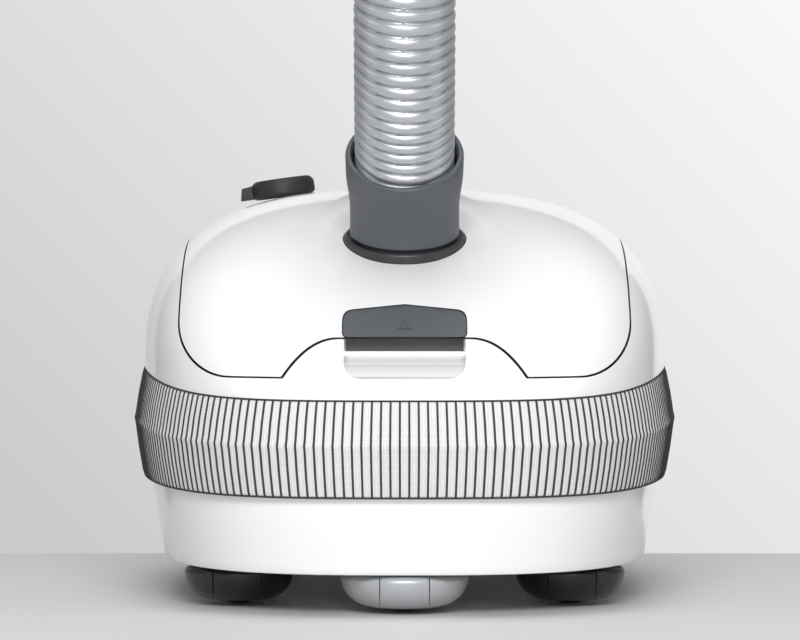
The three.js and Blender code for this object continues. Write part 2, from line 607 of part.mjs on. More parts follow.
// ---- cord reel ----------------------------------------------------------------------------------
function cordReel() {
  const place = alongX(REEL.x, REEL.y, REEL.z);
  const half = REEL.width / 2;
  const drum = turned([[5.4, -half], [REEL.radius, -half], [REEL.radius, 2 - half], [18, 2 - half], [18, half - 2],
    [REEL.radius, half - 2], [REEL.radius, half], [5.4, half], [5.4, -half]], 20, place);
  addPiece('reel_drum', drum, DARK_PLASTIC);
  addPiece('reel_axle', rod(5, -half - 6, half + 2, 20, place), STEEL);
  addPiece('reel_spring', ring(8, 24, -half - 4, -half - 0.6, 18, place), STEEL);
  const bracket = box(REEL.x - half - 9, REEL.x - half - 6.4, REEL.y - 20, REEL.y + 20, 40, REEL.z + 16);
  addPiece('reel_bracket', bracket, DARK_PLASTIC);
  addPiece('cord_outlet', ring(4.5, 8.6, -7, 13, 20, alongY(OUTLET.x, OUTLET.y, OUTLET.z)), DARK_PLASTIC);
}

// ---- castors ------------------------------------------------------------------------------------
function castorHood(castor) {
  const R = castor.radius;
  const profile = [[0, HOOD.bottomZ], [0.6 * R, HOOD.bottomZ], [0.86 * R, HOOD.bottomZ + 5.2], [R, HOOD.rimZ],
    [0.72 * R, HOOD.rimZ + 2.6], [0.7 * R, HOOD.plateZ], [HOOD.stem, HOOD.plateZ], [HOOD.stem, HOOD.stemTopZ],
    [0, HOOD.stemTopZ]];
  const wheelY = castor.y + WHEEL.trail;
  const well = box(castor.x - WHEEL_WELL.half, castor.x + WHEEL_WELL.half,
    wheelY - WHEEL_WELL.reach, wheelY + WHEEL_WELL.reach, -1, WHEEL_WELL.top);
  const reach = WHEEL.axleEnd + 1;
  const bore = rod(WHEEL.axle + CLEARANCE, -reach, reach, 8, alongX(castor.x, wheelY, WHEEL.radius));
  const hood = turned(profile, 14, upright(castor)).subtract(well).subtract(bore);
  addPiece(`${castor.name}_hood`, hood, finish(castor.colour, 0.4));
}

function castorWheel(castor) {
  const wheelY = castor.y + WHEEL.trail;
  const tread = WHEEL.radius / Math.cos(Math.PI / WHEEL.facets);
  const half = WHEEL.width / 2;
  const [axle, end] = [WHEEL.axle, WHEEL.axleEnd];
  const profile = [[0, -end], [axle, -end], [axle, -half], [tread, -half],
    [tread, half], [axle, half], [axle, end], [0, end]];
  const wheel = turned(profile, WHEEL.facets, alongX(castor.x, wheelY, WHEEL.radius));
  addPiece(`${castor.name}_wheel`, wheel, RUBBER);
}

// ---- the whole machine --------------------------------------------------------------------------
lowerShell();
upperShell();
bumperBelt();
lid();
lidSeal();
hingePin();
latchButton();
swivelCollar();
swivelElbow();
hose();
handle();
powerKnob();
rewindButton();
controlBoard();
partitionWall();
dustBag();
motor();
cordReel();
CASTORS.forEach((castor) => { castorHood(castor); castorWheel(castor); });

export default machine;
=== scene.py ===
"""A canister vacuum cleaner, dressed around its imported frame: casing, belt, lid, swivel, hose, castors.

Everything is in metres in the row's frame: +Z up, the front towards -Y, the origin on the floor.
"""

import logging
import math
from dataclasses import dataclass, field
from enum import Enum
from typing import Iterable, Sequence

import bmesh
import bpy
from mathutils import Matrix, Vector


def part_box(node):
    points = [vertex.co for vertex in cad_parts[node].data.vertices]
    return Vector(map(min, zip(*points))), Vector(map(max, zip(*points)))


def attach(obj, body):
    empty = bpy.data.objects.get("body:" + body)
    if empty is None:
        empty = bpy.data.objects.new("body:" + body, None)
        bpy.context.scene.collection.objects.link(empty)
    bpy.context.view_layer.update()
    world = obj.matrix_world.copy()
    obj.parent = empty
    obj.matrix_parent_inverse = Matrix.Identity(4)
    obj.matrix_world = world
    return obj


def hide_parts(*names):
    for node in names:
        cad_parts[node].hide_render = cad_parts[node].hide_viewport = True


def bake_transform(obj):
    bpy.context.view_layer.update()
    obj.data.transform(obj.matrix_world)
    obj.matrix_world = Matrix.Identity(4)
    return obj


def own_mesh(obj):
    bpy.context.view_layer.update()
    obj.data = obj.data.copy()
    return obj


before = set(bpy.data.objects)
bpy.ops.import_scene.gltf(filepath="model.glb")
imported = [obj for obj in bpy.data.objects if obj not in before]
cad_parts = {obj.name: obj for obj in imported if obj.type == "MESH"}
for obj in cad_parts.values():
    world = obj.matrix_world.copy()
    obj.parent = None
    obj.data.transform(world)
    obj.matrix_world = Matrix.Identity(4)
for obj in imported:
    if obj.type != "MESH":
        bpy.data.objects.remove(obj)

LOG = logging.getLogger("vacuum")
MM = 0.001
Point = tuple[float, float, float]
Colour = tuple[float, float, float]
Piece = bpy.types.Object
Material = bpy.types.Material
Tree = bpy.types.NodeTree
Node = bpy.types.Node
Socket = bpy.types.NodeSocket
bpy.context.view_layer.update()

# Places that two parts of the machine share, in millimetres.
PORT = (0.0, -70.0, 182.5)
PORT_TILT = math.radians(19)
KNOB_PLACE = (-66.5, 96.0, 207.6)
KNOB_LEAN = math.radians(-8)
REWIND_PLACE = (66.0, 128.0)

# The dark stripes round the belt, and the castors' names in the frame.
STRIPES = 246
CASTOR_PLACES = (
    "front_castor", "front_left_castor", "front_right_castor", "rear_left_castor", "rear_right_castor",
)


# ---- finishes ------------------------------------------------------------------------------------
class Grain(Enum):
    """The kinds of fine surface that a moulded or woven finish has."""

    POLISHED = "polished"
    SATIN = "satin"
    SPARK = "spark"


def shader_of(name: str) -> tuple[Material, Tree, Node]:
    """Start a node material.

    Args:
        name: the material's name.

    Returns:
        The material, its node tree and its main shader.
    """
    material = bpy.data.materials.new(name)
    material.use_nodes = True
    tree = material.node_tree
    return material, tree, tree.nodes["Principled BSDF"]


def noise_of(tree: Tree, scale: float, detail: float = 3.0) -> Node:
    """Add a noise that is fixed to the piece.

    Args:
        tree: the material's nodes.
        scale: cells per metre.
        detail: octaves.

    Returns:
        The noise node.
    """
    place = tree.nodes.new("ShaderNodeTexCoord")
    noise = tree.nodes.new("ShaderNodeTexNoise")
    noise.inputs["Scale"].default_value = scale
    noise.inputs["Detail"].default_value = detail
    tree.links.new(place.outputs["Object"], noise.inputs["Vector"])
    return noise


def ranged(tree: Tree, value: Socket, low: float, high: float) -> Socket:
    """Spread a 0 to 1 value over a range.

    Args:
        tree: the material's nodes.
        value: the socket to spread.
        low: the value at 0.
        high: the value at 1.

    Returns:
        The spread socket.
    """
    spread = tree.nodes.new("ShaderNodeMapRange")
    spread.inputs["To Min"].default_value = low
    spread.inputs["To Max"].default_value = high
    tree.links.new(value, spread.inputs["Value"])
    return spread.outputs["Result"]


def mottled(tree: Tree, value: Socket, dark: Colour, pale: Colour) -> Socket:
    """Mix two colours by a value.

    Args:
        tree: the material's nodes.
        value: the 0 to 1 mix.
        dark: the colour at 0.
        pale: the colour at 1.

    Returns:
        The colour socket.
    """
    ramp = tree.nodes.new("ShaderNodeValToRGB")
    ramp.color_ramp.elements[0].position = 0.3
    ramp.color_ramp.elements[1].position = 0.7
    ramp.color_ramp.elements[0].color = (*dark, 1)
    ramp.color_ramp.elements[1].color = (*pale, 1)
    tree.links.new(value, ramp.inputs["Fac"])
    return ramp.outputs["Color"]


def bumped(tree: Tree, shader: Node, height: Socket, depth: float) -> None:
    """Drive the shader's normal from a height.

    Args:
        tree: the material's nodes.
        shader: the main shader.
        height: the 0 to 1 height.
        depth: its depth in metres.
    """
    bump = tree.nodes.new("ShaderNodeBump")
    bump.inputs["Distance"].default_value = depth
    tree.links.new(height, bump.inputs["Height"])
    tree.links.new(bump.outputs["Normal"], shader.inputs["Normal"])


def scaled(colour: Colour, by: float) -> Colour:
    """Return the colour times a number."""
    return tuple(min(1.0, c * by) for c in colour)


@dataclass(frozen=True)
class Plastic:
    """A moulded plastic with its mould's grain."""

    name: str
    colour: Colour
    roughness: float
    grain: Grain = Grain.SATIN
    metallic: float = 0.0
    coat: float = 0.0
    variation: float = 0.05

    def make(self) -> Material:
        """Build the node material.

        Returns:
            The material.
        """
        material, tree, shader = shader_of(self.name)
        shader.inputs["Metallic"].default_value = self.metallic
        shader.inputs["Coat Weight"].default_value = self.coat
        shader.inputs["Coat Roughness"].default_value = 0.06
        clouds = noise_of(tree, 14.0).outputs["Fac"]
        pale, dark = scaled(self.colour, 1 + self.variation), scaled(self.colour, 1 - self.variation)
        tree.links.new(mottled(tree, clouds, dark, pale), shader.inputs["Base Color"])
        low, high = 0.85 * self.roughness, 1.15 * self.roughness
        rough = ranged(tree, noise_of(tree, 60.0).outputs["Fac"], low, high)
        tree.links.new(rough, shader.inputs["Roughness"])
        scale, depth = {
            Grain.POLISHED: (45.0, 0.00004),
            Grain.SATIN: (1800.0, 0.00005),
            Grain.SPARK: (1100.0, 0.00014),
        }[self.grain]
        bumped(tree, shader, noise_of(tree, scale).outputs["Fac"], depth)
        return material


@dataclass(frozen=True)
class Metal:
    """A turned, drawn or stamped metal."""

    name: str
    colour: Colour
    roughness: float = 0.3

    def make(self) -> Material:
        """Build the node material.

        Returns:
            The material.
        """
        material, tree, shader = shader_of(self.name)
        shader.inputs["Metallic"].default_value = 1.0
        lines = noise_of(tree, 420.0, 6.0).outputs["Fac"]
        drawn = mottled(tree, lines, scaled(self.colour, 0.86), self.colour)
        tree.links.new(drawn, shader.inputs["Base Color"])
        tree.links.new(ranged(tree, lines, self.roughness, self.roughness + 0.16), shader.inputs["Roughness"])
        bumped(tree, shader, lines, 0.00003)
        return material


@dataclass(frozen=True)
class Fibre:
    """A matt fibrous stuff: woven textile, filter paper, foam or rubber."""

    name: str
    colour: Colour
    threads: float = 900.0
    depth: float = 0.00012
    sheen: float = 0.0
    roughness: float = 0.9

    def make(self) -> Material:
        """Build the node material.

        Returns:
            The material.
        """
        material, tree, shader = shader_of(self.name)
        shader.inputs["Roughness"].default_value = self.roughness
        shader.inputs["Sheen Weight"].default_value = self.sheen
        shader.inputs["Sheen Roughness"].default_value = 0.5
        fine = noise_of(tree, self.threads, 4.0).outputs["Fac"]
        flecked = mottled(tree, fine, scaled(self.colour, 0.84), scaled(self.colour, 1.06))
        tree.links.new(flecked, shader.inputs["Base Color"])
        bumped(tree, shader, fine, self.depth)
        return material


@dataclass(frozen=True)
class Weave:
    """A plain weave whose threads run up and across the piece."""

    name: str
    colour: Colour
    pitch: float = 0.0011
    depth: float = 0.00016

    def make(self) -> Material:
        """Build the node material.

        Returns:
            The material.
        """
        material, tree, shader = shader_of(self.name)
        shader.inputs["Roughness"].default_value = 0.85
        shader.inputs["Sheen Weight"].default_value = 0.25
        shader.inputs["Sheen Roughness"].default_value = 0.4
        place = tree.nodes.new("ShaderNodeUVMap")
        heights = []
        for direction in ("X", "Y"):
            wave = tree.nodes.new("ShaderNodeTexWave")
            wave.bands_direction = direction
            wave.inputs["Scale"].default_value = 0.31 / self.pitch
            wave.inputs["Distortion"].default_value = 0.6
            wave.inputs["Detail Scale"].default_value = 3.0
            tree.links.new(place.outputs["UV"], wave.inputs["Vector"])
            heights.append(wave.outputs["Fac"])
        both = tree.nodes.new("ShaderNodeMath")
        both.operation = "MULTIPLY"
        tree.links.new(heights[0], both.inputs[0])
        tree.links.new(heights[1], both.inputs[1])
        woven = mottled(tree, both.outputs[0], scaled(self.colour, 0.8), self.colour)
        tree.links.new(woven, shader.inputs["Base Color"])
        bumped(tree, shader, both.outputs[0], self.depth)
        return material


GLOSS_WHITE = Plastic(
    "gloss white shell", (0.80, 0.80, 0.797), 0.17, Grain.POLISHED, coat=0.6, variation=0.006
)
GREY = Plastic("slate grey plastic", (0.074, 0.081, 0.091), 0.46, Grain.SPARK)
COLLAR_BLACK = Plastic("collar black plastic", (0.030, 0.031, 0.033), 0.38, Grain.SATIN)
INNER_DARK = Plastic("dark inner plastic", (0.045, 0.046, 0.05), 0.5, Grain.SPARK)
# Painted shade: the colour of the sheet that darkens the back of the finger recess, where the shadow under
# the button falls.
RECESS_SHADE_GREY = Plastic("painted recess shade", (0.064, 0.060, 0.057), 0.6, Grain.SPARK)
KNOB_BLACK = Plastic("knob black plastic", (0.016, 0.016, 0.0165), 0.52, Grain.SPARK)
CASTOR_BLACK = Plastic("castor black plastic", (0.0125, 0.0110, 0.0108), 0.3, Grain.SATIN)
CASTOR_SILVER = Plastic("castor silver plastic", (0.45, 0.465, 0.475), 0.34, Grain.SATIN, metallic=0.35)
HOSE_SILVER = Plastic("hose silver plastic", (0.47, 0.485, 0.50), 0.3, Grain.SATIN, metallic=0.55)
TEXTILE = Weave("belt textile", (0.77, 0.77, 0.77))
STRIPE = Fibre("belt stripe thread", (0.035, 0.035, 0.037), 1400.0)
PAPER = Fibre("filter paper", (0.74, 0.69, 0.58), 260.0, 0.0003)
FOAM = Fibre("filter foam", (0.045, 0.05, 0.055), 700.0, 0.0008)
RUBBER = Fibre("soft black rubber", (0.018, 0.018, 0.019), 500.0, 0.00006, roughness=0.62)
STEEL = Metal("bright steel", (0.62, 0.63, 0.64))
COPPER = Metal("enamelled copper winding", (0.56, 0.22, 0.09), 0.34)
BOARD = Plastic("green solder mask", (0.03, 0.16, 0.07), 0.4, Grain.SATIN)


# ---- making meshes -------------------------------------------------------------------------------
def piece_from(name: str, points: Sequence[Sequence[float]], faces: Sequence[Sequence[int]]) -> Piece:
    """Make a piece from its points and faces.

    Args:
        name: the piece's name.
        points: the places in metres.
        faces: the corners of each face.

    Returns:
        The piece, with its faces turned outwards.
    """
    mesh = bpy.data.meshes.new(name)
    mesh.from_pydata([tuple(p) for p in points], [], [tuple(f) for f in faces])
    shape = bmesh.new()
    shape.from_mesh(mesh)
    bmesh.ops.remove_doubles(shape, verts=shape.verts, dist=1e-7)
    bmesh.ops.recalc_face_normals(shape, faces=shape.faces)
    shape.to_mesh(mesh)
    shape.free()
    piece = bpy.data.objects.new(name, mesh)
    bpy.context.scene.collection.objects.link(piece)
    return piece


def lofted(name: str, rings: Sequence[Sequence[Vector]], closed: bool = False) -> Piece:
    """Make a solid through rings of equally many points.

    Args:
        name: the piece's name.
        rings: the rings, in order.
        closed: whether the last ring joins the first, as on a hoop.

    Returns:
        The piece.
    """
    count, levels = len(rings[0]), len(rings)
    points = [p for ring in rings for p in ring]
    faces = []
    for level in range(levels if closed else levels - 1):
        low, high = level * count, (level + 1) % levels * count
        faces += [(low + i, low + (i + 1) % count, high + (i + 1) % count, high + i) for i in range(count)]
    if not closed:
        for start in (0, (levels - 1) * count):
            middle = sum(rings[start // count], Vector()) / count
            points.append(middle)
            faces += [(len(points) - 1, start + i, start + (i + 1) % count) for i in range(count)]
    return piece_from(name, points, faces)


def turned(name: str, profile: Sequence[tuple[float, float]], place: Matrix, sides: int = 64) -> Piece:
    """Turn a closed profile about the place's own Z.

    Args:
        name: the piece's name.
        profile: radius and height of each corner, in millimetres, round the section.
        place: where the turned piece goes.
        sides: the steps round the turn.

    Returns:
        The piece.
    """
    rings = []
    for step in range(sides):
        angle = 2 * math.pi * step / sides
        rings.append([
            place @ Vector((r * MM * math.cos(angle), r * MM * math.sin(angle), z * MM)) for r, z in profile
        ])
    return lofted(name, rings, closed=True)


def arc_through(corners: Sequence[tuple[float, float, float]], steps: int = 5) -> list[tuple[float, float]]:
    """Round the corners of a profile.

    Args:
        corners: each corner's two places and its rounding radius.
        steps: the steps on each rounding.

    Returns:
        The rounded profile.
    """
    out = []
    count = len(corners)
    for i, (a, b, radius) in enumerate(corners):
        here = Vector((a, b))
        if radius <= 0:
            out.append((a, b))
            continue
        back = Vector(corners[i - 1][:2]) - here
        ahead = Vector(corners[(i + 1) % count][:2]) - here
        reach = min(radius, back.length * 0.49, ahead.length * 0.49)
        start, end = here + back.normalized() * reach, here + ahead.normalized() * reach
        for k in range(steps + 1):
            t = k / steps
            spot = start * (1 - t) ** 2 + here * (2 * t * (1 - t)) + end * t ** 2
            out.append((spot.x, spot.y))
    return out


def leaning(x: float, y: float, z: float, lean: float = 0.0, sideways: float = 0.0) -> Matrix:
    """Place local Z so that it leans to the front and then sideways, at millimetres."""
    place = Matrix.Translation(Vector((x, y, z)) * MM)
    return place @ Matrix.Rotation(lean, 4, "X") @ Matrix.Rotation(sideways, 4, "Y")


def along_x(x: float, y: float, z: float) -> Matrix:
    """Place local Z along +X, at millimetres."""
    return Matrix.Translation(Vector((x, y, z)) * MM) @ Matrix.Rotation(math.pi / 2, 4, "Y")


def through_y(name: str, outline: Sequence[tuple[float, float]], y0: float, y1: float) -> Piece:
    """Run a front-view outline through the machine.

    Args:
        name: the cutter's name.
        outline: X and Z in millimetres.
        y0: its nearer end.
        y1: its farther end.

    Returns:
        The cutter.
    """
    rings = [[Vector((x, y, z)) * MM for x, z in outline] for y in (y0, y1)]
    count = len(outline)
    points = rings[0] + rings[1]
    faces = [(i, (i + 1) % count, count + (i + 1) % count, count + i) for i in range(count)]
    faces += [tuple(range(count)), tuple(reversed(range(count, 2 * count)))]
    return piece_from(name, points, faces)


def block(name: str, low: Point, high: Point) -> Piece:
    """Make a cutter with flat sides between two corners, in millimetres."""
    outline = [(low[0], low[2]), (high[0], low[2]), (high[0], high[2]), (low[0], high[2])]
    return through_y(name, outline, low[1], high[1])


def carve(piece: Piece, tool: Piece, operation: str = "DIFFERENCE", keep: bool = False) -> None:
    """Cut, join or keep what is common, and apply it.

    Args:
        piece: what is changed.
        tool: what it is changed by.
        operation: DIFFERENCE, UNION or INTERSECT.
        keep: whether the tool is used again.
    """
    cut = piece.modifiers.new("cut", "BOOLEAN")
    cut.operation, cut.object, cut.solver = operation, tool, "EXACT"
    applied(piece)
    if not keep:
        bpy.data.objects.remove(tool)


def applied(piece: Piece) -> None:
    """Turn the modifiers of a piece into its mesh."""
    bpy.context.view_layer.update()
    evaluated = piece.evaluated_get(bpy.context.evaluated_depsgraph_get())
    mesh = bpy.data.meshes.new_from_object(evaluated)
    piece.modifiers.clear()
    piece.data = mesh


def copied(piece: Piece, name: str) -> Piece:
    """Return a copy of a piece under another name."""
    twin = bpy.data.objects.new(name, piece.data.copy())
    bpy.context.scene.collection.objects.link(twin)
    return twin


def rounded(piece: Piece, width: float, segments: int, limit: float) -> None:
    """Round the sharp edges of a piece.

    Args:
        piece: the piece.
        width: how wide the rounding is, in millimetres.
        segments: its steps.
        limit: the angle in degrees past which an edge counts as sharp.
    """
    rounding = piece.modifiers.new("edges", "BEVEL")
    rounding.width, rounding.segments, rounding.limit_method = width * MM, segments, "ANGLE"
    rounding.angle_limit = math.radians(limit)
    applied(piece)


def middle_of(node: str) -> tuple[float, ...]:
    """Return the middle of a node's box, in millimetres."""
    low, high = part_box(node)
    return tuple((a + b) / 2 / MM for a, b in zip(low, high))


def smoothed(piece: Piece, sharp_degrees: float = 32.0) -> Piece:
    """Shade a piece smooth, and keep its edges sharp past an angle.

    Args:
        piece: the piece.
        sharp_degrees: the angle.

    Returns:
        The same piece.
    """
    shape = bmesh.new()
    shape.from_mesh(piece.data)
    for face in shape.faces:
        face.smooth = True
    for edge in shape.edges:
        edge.smooth = edge.is_manifold and edge.calc_face_angle(0.0) < math.radians(sharp_degrees)
    shape.to_mesh(piece.data)
    shape.free()
    return piece


def dressed(
    piece: Piece, finish: Material, body: str | None, nodes: Iterable[str] = ()
) -> Piece:
    """Give a piece its finish, the body that it rides on and the nodes that it stands for.

    Args:
        piece: the piece.
        finish: its material.
        body: the body, or None for a piece that bends between two.
        nodes: the nodes that it replaces.

    Returns:
        The same piece.
    """
    piece.data.materials.clear()
    piece.data.materials.append(finish)
    if body:
        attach(piece, body)
    if nodes:
        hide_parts(*nodes)
    LOG.info("%s rides on %s, %d faces", piece.name, body, len(piece.data.polygons))
    return piece


def lean_axis(tilt: float) -> Vector:
    """Return the direction that leans from straight up towards the front."""
    return Vector((0, -math.sin(tilt), math.cos(tilt)))


# ---- the studio ----------------------------------------------------------------------------------
@dataclass
class Studio:
    """The camera, the pale table, the glowing wall and the soft lights."""

    eye: Point = (0.0, -2.26, 0.1794)
    sensor: float = 36.0
    lens: float = 191.25
    down: float = 0.01646910
    aside: float = 0.00108235
    table_grey: Colour = (0.60, 0.592, 0.60)
    table_edge: float = 0.256
    wall_range: tuple[float, float] = (0.60, 0.95)

    def build(self) -> None:
        """Make the camera, the backdrop and the lights."""
        bpy.context.scene.view_settings.view_transform = "Standard"
        self.camera()
        self.backdrop()
        self.lights()

    def camera(self) -> None:
        """Set the camera at the height of the lid, aimed a little down."""
        data = bpy.data.cameras.new("camera")
        data.sensor_width, data.lens = self.sensor, self.lens
        data.clip_end = 60.0
        seen_from = bpy.data.objects.new("camera", data)
        seen_from.location = self.eye
        seen_from.rotation_euler = (math.pi / 2 - self.down, 0, self.aside)
        bpy.context.scene.collection.objects.link(seen_from)
        bpy.context.scene.camera = seen_from

    def backdrop(self) -> None:
        """Lay a pale table that ends close behind the machine, with a wall far behind it."""
        edge, drop = self.table_edge, 0.0003
        table = smoothed(piece_from("table", [
            (-4, -5, -drop), (4, -5, -drop), (4, edge, -drop), (-4, edge, -drop),
        ], [(0, 1, 2, 3)]))
        material, tree, shader = shader_of("table paper")
        shader.inputs["Roughness"].default_value = 0.6
        fine = noise_of(tree, 5.0).outputs["Fac"]
        pale = mottled(tree, fine, scaled(self.table_grey, 0.99), scaled(self.table_grey, 1.01))
        tree.links.new(pale, shader.inputs["Base Color"])
        table.data.materials.append(material)
        wall = smoothed(piece_from("wall", [
            (-1.6, 3.0, -1.4), (1.6, 3.0, -1.4), (1.6, 3.0, 1.6), (-1.6, 3.0, 1.6),
        ], [(0, 1, 2, 3)]))
        wall.data.materials.append(self.wall_glow())

    def wall_glow(self) -> Material:
        """Return the wall's own soft glow: brighter to the right and the top."""
        material, tree, shader = shader_of("wall glow")
        shader.inputs["Base Color"].default_value = (0.0, 0.0, 0.0, 1)
        shader.inputs["Roughness"].default_value = 1.0
        shader.inputs["Specular IOR Level"].default_value = 0.0
        place = tree.nodes.new("ShaderNodeTexCoord")
        along = tree.nodes.new("ShaderNodeVectorMath")
        along.operation = "DOT_PRODUCT"
        tree.links.new(place.outputs["Object"], along.inputs[0])
        along.inputs[1].default_value = (0.62, 0.0, 0.62)
        ramp = tree.nodes.new("ShaderNodeValToRGB")
        ramp.color_ramp.elements[0].position, ramp.color_ramp.elements[1].position = 0.0, 1.0
        low, high = self.wall_range
        ramp.color_ramp.elements[0].color = (low, low, low, 1)
        ramp.color_ramp.elements[1].color = (high, high, high, 1)
        shift = tree.nodes.new("ShaderNodeMath")
        shift.operation = "ADD"
        tree.links.new(along.outputs["Value"], shift.inputs[0])
        shift.inputs[1].default_value = 0.36
        tree.links.new(shift.outputs[0], ramp.inputs["Fac"])
        tree.links.new(ramp.outputs["Color"], shader.inputs["Emission Color"])
        shader.inputs["Emission Strength"].default_value = 1.0
        return material

    def lights(self) -> None:
        """Hang a wide soft box over the camera, one above, and weak ones at the sides."""
        world = bpy.data.worlds.new("room")
        world.use_nodes = True
        world.node_tree.nodes["Background"].inputs["Color"].default_value = (0.95, 0.97, 1.0, 1)
        world.node_tree.nodes["Background"].inputs["Strength"].default_value = 0.28
        bpy.context.scene.world = world
        self.softbox("left_softbox", (-1.9, -0.9, 1.0), (0, -0.05, 0.12), (1.0, 1.4), 4.0)
        self.softbox("right_softbox", (1.9, -0.9, 1.0), (0, -0.05, 0.12), (1.0, 1.4), 5.0)
        self.softbox("top_softbox", (0.0, -0.3, 2.1), (0, -0.05, 0.1), (1.3, 1.3), 19.0)
        self.softbox("front_softbox", (0.0, -2.6, 1.45), (0, 0, 0.1), (1.5, 0.8), 55.0)
        self.softbox("low_softbox", (0.0, -2.9, 0.5), (0, 0, 0.1), (1.0, 0.4), 15.0)

    def softbox(self, name: str, at: Point, aim: Point, size: tuple[float, float], power: float) -> None:
        """Hang one rectangular light.

        Args:
            name: its name.
            at: its place.
            aim: what it faces.
            size: its width and height.
            power: its power in watts.
        """
        data = bpy.data.lights.new(name, "AREA")
        data.shape, data.size, data.size_y, data.energy = "RECTANGLE", size[0], size[1], power
        lamp = bpy.data.objects.new(name, data)
        lamp.location = at
        lamp.rotation_euler = (Vector(aim) - Vector(at)).to_track_quat("-Z", "Y").to_euler()
        bpy.context.scene.collection.objects.link(lamp)


# ---- hose ----------------------------------------------------------------------------------------
@dataclass
class Hose:
    """The corrugated hose in its two stretches; the cuff and grip on its end are dressed with the interior.
    """

    route: tuple[tuple[float, float], ...] = (
        (-90, 221), (-97, 229), (-111, 246), (-125, 263), (-138, 282), (-149, 302), (-164, 343), (-172, 399),
        (-165, 454), (-143, 506), (-109, 551), (-64, 585), (-12, 607), (43, 614), (99, 607), (151, 585),
        (195, 551), (229, 506), (251, 454), (258, 399), (258, 315), (258, 231), (265, 178), (286, 128),
        (318, 86), (361, 53), (410, 33), (463, 26), (503, 26), (568, 29), (598, 29),
    )
    radius: float = 0.0255
    groove: float = 0.0027
    pitch: float = 0.0065
    lower_length: float = 0.320
    line: list[Vector] = field(default_factory=list)

    def build(self) -> None:
        self.line = self.fine_line(self.pitch / 12)
        split = round(self.lower_length / self.pitch * 12)
        lower = self.stretch("hose_lower_corrugated", 0, split, 1, 64)
        upper = self.stretch("hose_upper_corrugated", split + 1, len(self.line) - 1, 2, 30)
        silver = HOSE_SILVER.make()
        dressed(lower, silver, None, ["hose_lower"])
        dressed(upper, silver, None, ["hose_upper"])
        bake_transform(lower)
        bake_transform(upper)

    def fine_line(self, step: float) -> list[Vector]:
        """Run one smooth line through the route.

        Args:
            step: the distance between its points.

        Returns:
            The evenly spaced points.
        """
        knots = [Vector((0, y, z)) * MM for y, z in self.route]
        knots = [knots[0] * 2 - knots[1], *knots, knots[-1] * 2 - knots[-2]]
        dense = []
        for a, b, c, d in zip(knots, knots[1:], knots[2:], knots[3:]):
            dense += [self.between(a, b, c, d, k / 60) for k in range(60)]
        dense.append(knots[-2])
        out, carried = [dense[0]], 0.0
        for start, end in zip(dense, dense[1:]):
            length = (end - start).length
            while carried + length >= step:
                start = start.lerp(end, (step - carried) / length)
                length = (end - start).length
                carried = 0.0
                out.append(start)
            carried += length
        return out

    @staticmethod
    def between(a: Vector, b: Vector, c: Vector, d: Vector, t: float) -> Vector:
        """Return a point of the centripetal spline between b and c."""
        t1 = (b - a).length ** 0.5
        t2 = t1 + (c - b).length ** 0.5
        t3 = t2 + (d - c).length ** 0.5
        u = t1 + t * (t2 - t1)
        ab = a * ((t1 - u) / t1) + b * (u / t1)
        bc = b * ((t2 - u) / (t2 - t1)) + c * ((u - t1) / (t2 - t1))
        cd = c * ((t3 - u) / (t3 - t2)) + d * ((u - t2) / (t3 - t2))
        abc = ab * ((t2 - u) / t2) + bc * (u / t2)
        bcd = bc * ((t3 - u) / (t3 - t1)) + cd * ((u - t1) / (t3 - t1))
        return abc * ((t2 - u) / (t2 - t1)) + bcd * ((u - t1) / (t2 - t1))

    def stretch(self, name: str, first: int, last: int, stride: int, sides: int) -> Piece:
        """Make one length of hose with its helical ribs.

        Args:
            name: the piece's name.
            first: the first point of the line.
            last: the last one.
            stride: the points between two rings.
            sides: the steps round the hose.

        Returns:
            The smooth-shaded piece.
        """
        rings = []
        for i in range(first, last, stride):
            along = (self.line[min(i + 1, len(self.line) - 1)] - self.line[max(i - 1, 0)]).normalized()
            across = Vector((0, along.z, -along.y))
            ring = []
            for k in range(sides):
                turn = k / sides
                out = Vector((math.cos(2 * math.pi * turn), 0, 0)) + across * math.sin(2 * math.pi * turn)
                ring.append(self.line[i] + out * self.rib_radius(i / 12 + turn))
            rings.append(ring)
        return smoothed(lofted(name, rings), 80.0)

    def rib_radius(self, turns: float) -> float:
        """Return the radius where the helix has turned so many times."""
        from_crest = min(1.0, abs((turns % 1.0) - 0.5) * 2.28)
        return self.radius - self.groove * (1 - (1 - from_crest ** 2.3) ** 0.6)


